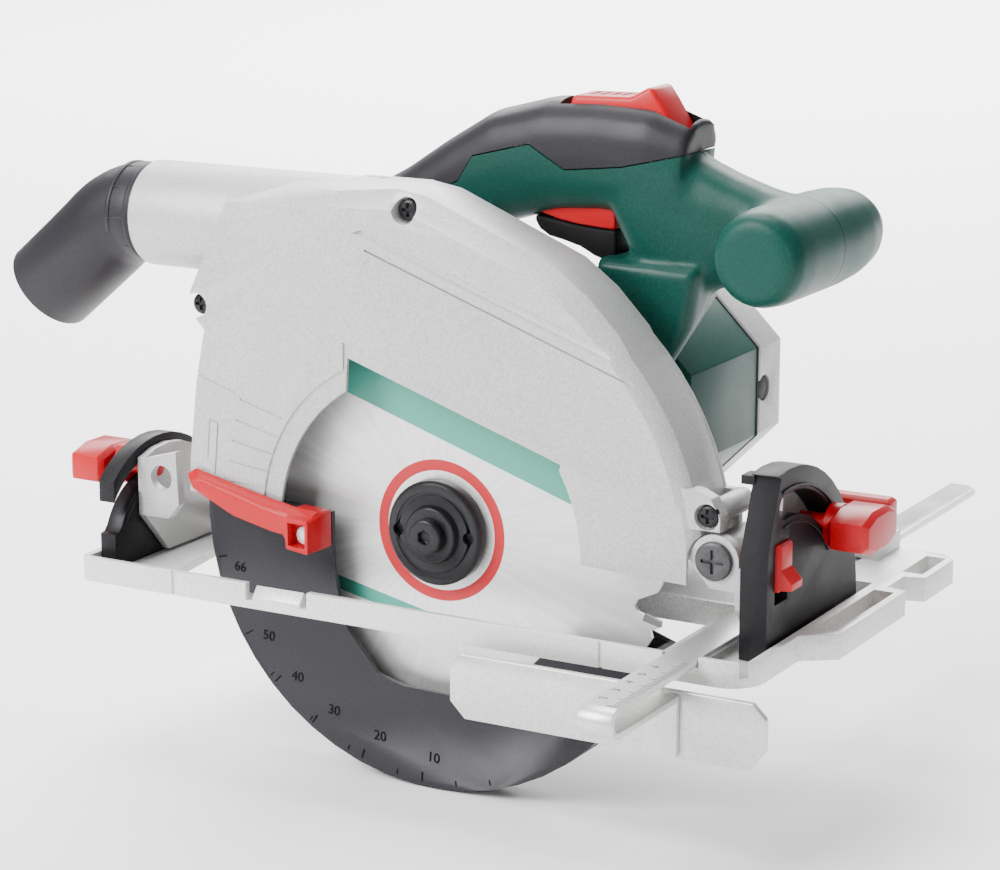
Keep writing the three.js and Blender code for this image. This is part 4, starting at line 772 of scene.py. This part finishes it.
def finish_lower_guard(shape):
    """Makes room for the lever's box, and trims the front end."""
    return cut(shape, block(-55, -41, -19, -10.5, -11, 7), block(38, 100, -11, 8.6, -31.5, -10))


refine("lower_guard", 0.5, "lower_guard_shell", finish_lower_guard)


# ---------------------------------------------------------------- screws
def phillips_head(y_front, at, r, depth):
    """Pan head facing the near side, with a cross recess."""
    head = turned([(0, y_front), (r * 0.72, y_front + 0.05), (r * 0.94, y_front + 0.5),
                   (r, y_front + 1.1), (r, y_front + depth), (0, y_front + depth)], "y", at, 40)
    arm = r * 0.62
    x, z = at
    bars = [block(x - arm, x + arm, y_front - 1, y_front + 1.3, z - 0.62, z + 0.62),
            block(x - 0.62, x + 0.62, y_front - 1, y_front + 1.3, z - arm, z + arm)]
    return cut(head, *bars)


def make_screws():
    for node, at in zip(("guard_screw_top", "guard_screw_rear"), SCREWS):
        screw = merge_loose(phillips_head(-13.4, at, 4.1, 2.7), rod(1.9, "y", -10.7, 10.9, at, 20))
        settle(soften(screw, 0.15, 1), node + "_turned", LOOKS["dark_steel"], "head",
               "dark_steel", (node,))
    front = merge_loose(phillips_head(-14.3, FRONT_SCREW_AT, 4.1, 2.1),
                        rod(1.9, "y", -12.1, 7.9, FRONT_SCREW_AT, 20))
    settle(soften(front, 0.15, 1), "guard_screw_front_turned", LOOKS["dark_steel"], "head",
           "dark_steel", ("guard_screw_front",))
    pivot = merge_loose(phillips_head(-16.4, PIVOT_AT, 7.1, 2.1),
                        rod(3.9, "y", -14.2, 13.9, PIVOT_AT, 28))
    settle(soften(pivot, 0.2, 2), "depth_pivot_turned", LOOKS["pivot_grey"], "bevel_frame",
           "steel", ("depth_pivot_screw",))


make_screws()


# ---------------------------------------------------------------- dust elbow and tube
ELBOW_ROUTE = [(-131.3, 109), (-140.3, 108.5), (-150.3, 104), (-159.3, 96.5), (-169.3, 88),
               (-184.3, 75.5)]
ELBOW_STEPS = 48
COLLAR_RIBS = 10


def smooth_route(route, parts=5):
    """Points of a smooth curve through the route, and its end."""
    dense = []
    for i in range(len(route) - 1):
        a, b = Vector(route[i]), Vector(route[i + 1])
        before = Vector(route[max(0, i - 1)])
        after = Vector(route[min(len(route) - 1, i + 2)])
        for k in range(parts):
            t = k / parts
            dense.append(0.5 * ((2 * a) + (b - before) * t
                                + (2 * before - 5 * a + 4 * b - after) * t * t
                                + (3 * a - before - 3 * b + after) * t ** 3))
    return dense + [Vector(route[-1])]


def elbow_shell():
    """Open pipe along the route, a little wider at its collar."""
    route = smooth_route(ELBOW_ROUTE)
    last = len(route) - 1
    bm = bmesh.new()
    made = []
    for i, point in enumerate(route):
        ahead = route[min(i + 1, last)] - route[i - 1] if i else Vector((-1.0, 0.0))
        normal = Vector((-ahead.y, ahead.x)).normalized()
        if normal.y < 0:
            normal = -normal
        rings = []
        for r in (19.4 if i < 5 else 19.3 - 0.5 * (i / last), 17.0):
            turns = [2 * math.pi * k / ELBOW_STEPS for k in range(ELBOW_STEPS)]
            rings.append([bm.verts.new((point.x + normal.x * r * math.sin(a),
                                        TUBE_AT[0] + r * math.cos(a),
                                        point.y + normal.y * r * math.sin(a))) for a in turns])
        made.append(rings)
    for low, high in zip(made, made[1:]):
        skirt(bm, low[0], high[0])
        skirt(bm, low[1], high[1])
    for outer, inner in (made[0], made[-1]):
        skirt(bm, outer, inner)
    return from_bmesh(bm)


def collar_ribs():
    parts = []
    for x in (-133.2, -141.5):
        ring = turned([(0, x - 1.3), (19.5, x - 1.0), (19.5, x + 1.0), (0, x + 1.3)], "x",
                      TUBE_AT, 64)
        parts.append(cut(ring, rod(18.8, "x", x - 4, x + 4, TUBE_AT, 64)))
    for k in range(COLLAR_RIBS):
        parts.append(turn_about(block(-141, -133.5, 25.0, 25.45, 108.6, 109.4), "x", TUBE_AT,
                                math.radians(360 / COLLAR_RIBS * k)))
    return merge_loose(*parts)


settle(soften(elbow_shell(), 0.5, 2), "elbow_moulding", LOOKS["soft_grip"], "elbow", "soft_grip",
       ("chip_elbow",), 50)
settle(soften(collar_ribs(), 0.2, 1), "elbow_collar_ribs", LOOKS["soft_grip"], "elbow",
       "soft_grip", smooth=50)


def make_tube():
    outer = turned([(0, -131), (19.9, -131), (20.4, -130.4), (20.5, -60), (20.5, -30), (0, -30)],
                   "x", TUBE_AT, 72)
    return cut(outer, rod(18.5, "x", -140, -20, TUBE_AT, 64), block(-84, -40, -20, 30, 79, 97),
               rod(100.4, "y", -20, 30, HUB, 96))


settle(soften(make_tube(), 0.4, 2), "chip_tube_casting", LOOKS["cast_grey"], "head", "cast_grey",
       ("chip_tube",), 40)


# ---------------------------------------------------------------- refined CAD nodes, fine details
EDGE_RADII = {
    "gear_housing": 0.5, "gear_cover": 0.3, "motor_housing": 1.2, "motor_cap": 0.8,
    "brush_holder_front": 0.4, "brush_holder_rear": 0.4, "stator": 0.3, "switch": 0.4,
    "cable_gland": 0.6, "spindle_bearing_front": 0.3, "spindle_bearing_rear": 0.3,
    "layshaft_bearing": 0.3, "armature_bearing": 0.3, "guard_spring": 0.2,
    "depth_clamp_bolt": 0.5, "depth_clamp_lever": 0.5, "inner_flange": 0.2, "blade_bolt": 0.3,
    "spindle": 0.3, "output_gear": 0.15, "layshaft": 0.15, "mid_gear": 0.15, "armature": 0.2,
    "commutator": 0.3, "fan": 0.2, "lever_screw": 0.2, "spindle_lock_button": 0.4,
    "base_plate": 0.45, "fence_bar": 0.3, "fence_plate": 0.3, "front_swivel_bracket": 0.5,
    "rear_swivel_bracket": 0.5, "depth_arc": 0.25, "depth_arc_bracket": 0.4,
    "front_bevel_quadrant": 0.6, "rear_bevel_quadrant": 0.6, "bevel_stop_slider": 0.35,
    "front_bevel_screw": 0.7, "rear_bevel_screw": 0.7, "fence_clamp_screw": 0.6,
}
for node_name, radius in EDGE_RADII.items():
    refine(node_name, radius)


def make_gasket():
    """Painted shade: a black ring in the shaded gap between the motor housing and its cap."""
    outer = prism(arc(*MOTOR_AT, 45.7, 22.5, 337.5, 7), "y", 107.8, 108.9)
    settle(cut(outer, rod(39.2, "y", 107, 110, MOTOR_AT, 48)), "motor_gap_painted_shade",
           LOOKS["deep_black"], "head", "black_plastic")


def make_fence_ticks():
    parts = []
    for k in range(34):
        y = -99.0 + 1.6 * k
        reach = 4.2 if k % 5 == 0 else 2.4
        parts.append(block(124.8 - reach, 124.8, y, y + 0.45, -20.05, -19.94))
    lying = (Matrix.Rotation(math.radians(90), 4, "Z") @ Matrix.Rotation(math.radians(-90), 4, "X"))
    for k, text in enumerate("23456"):
        number = digits(text, 4.4)
        number.data.transform(Matrix.Translation((116.2, -92.5 + 9.6 * k, -20.0)) @ lying)
        parts.append(number)
    settle(merge_loose(*parts), "fence_scale", LOOKS["scale_grey"], "fence", "steel")


def make_quadrant_ridges():
    """Raised borders round the curved clamp slot on the front face, and ribs on the rear one."""
    front = [prism(sector(*BEVEL_AXIS, r, r + 1.0, 36, 97, 28), "x", 140.9, 141.7)
             for r in (55.6, 42.6)]
    settle(soften(merge_loose(*front), 0.2, 1), "front_quadrant_ridges",
           LOOKS["black_plastic"], "base", "black_plastic")
    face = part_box("rear_bevel_quadrant")[1][0] / MM - SPINDLE.x / MM
    low, high = face - 0.1, face + 0.35
    ribs = [prism(sector(*BEVEL_AXIS, 27.0, 28.0, 64, 150, 24), "x", low, high)]
    for turn in (78, 100, 122):
        c, s = math.cos(math.radians(turn)), math.sin(math.radians(turn))
        corners = [(r * c - half * s, BEVEL_AXIS[1] + r * s + half * c)
                   for r, half in ((12, 0.5), (12, -0.5), (27, -0.5), (27, 0.5))]
        ribs.append(prism(corners, "x", low, high))
    settle(merge_loose(*ribs), "rear_quadrant_ribs", LOOKS["black_plastic"], "base",
           "black_plastic")


make_gasket()
make_fence_ticks()
make_quadrant_ridges()


# ---------------------------------------------------------------- stage
FLOOR_HALF = 6.0
FLOOR_GAP = 0.0005


def make_stage():
    half = FLOOR_HALF
    mesh = bpy.data.meshes.new("floor")
    mesh.from_pydata([(-half, -half, 0), (half, -half, 0), (half, half, 0), (-half, half, 0)], [],
                     [(0, 1, 2, 3)])
    floor = link(mesh, "floor")
    floor.location = (0.0, 0.0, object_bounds()[0][2] - FLOOR_GAP)
    mesh.materials.append(surface("pale_floor", (0.95, 0.95, 0.95), 0.75, 0.0, 60.0, 0.0001, 0.1,
                                  0.01))
    world = bpy.data.worlds.new("studio")
    world.use_nodes = True
    background = world.node_tree.nodes["Background"]
    background.inputs["Color"].default_value = (1.0, 1.0, 1.0, 1.0)
    background.inputs["Strength"].default_value = 0.42
    bpy.context.scene.world = world


def area_light(name, place, aim, size, power):
    light = bpy.data.lights.new(name, "AREA")
    light.shape = "RECTANGLE"
    light.size, light.size_y = size
    light.energy = power
    obj = bpy.data.objects.new(name, light)
    obj.location = place
    obj.rotation_euler = (Vector(aim) - Vector(place)).to_track_quat("-Z", "Y").to_euler()
    bpy.context.scene.collection.objects.link(obj)


CAMERA_TURN = 29.431
CAMERA_RISE = 13.358
CAMERA_PLACE = (0.5393, -0.9874, 0.3170)


def make_camera():
    a, e = math.radians(CAMERA_TURN), math.radians(CAMERA_RISE)
    back = Vector((math.sin(a) * math.cos(e), -math.cos(a) * math.cos(e), math.sin(e)))
    right = Vector((math.cos(a), math.sin(a), 0.0))
    data = bpy.data.cameras.new("camera")
    data.lens = 105.6
    data.sensor_width = 36.0
    data.clip_end = 50.0
    obj = bpy.data.objects.new("camera", data)
    turn = Matrix((right, back.cross(right), back)).transposed().to_4x4()
    obj.matrix_world = Matrix.Translation(CAMERA_PLACE) @ turn
    bpy.context.scene.collection.objects.link(obj)
    bpy.context.scene.camera = obj


make_stage()
make_camera()
area_light("key", (-0.75, -1.35, 1.05), (0, -0.05, 0.05), (0.9, 0.9), 62.0)
area_light("fill", (0.9, -1.3, 0.35), (0, 0, 0.05), (0.6, 0.6), 3.0)
area_light("top", (-0.3, 0.1, 1.7), (0, 0, 0.05), (1.0, 1.0), 34.0)
area_light("backdrop", (-1.2, 2.9, 1.6), (-1.3, 2.9, 0.0), (4.0, 3.0), 420.0)
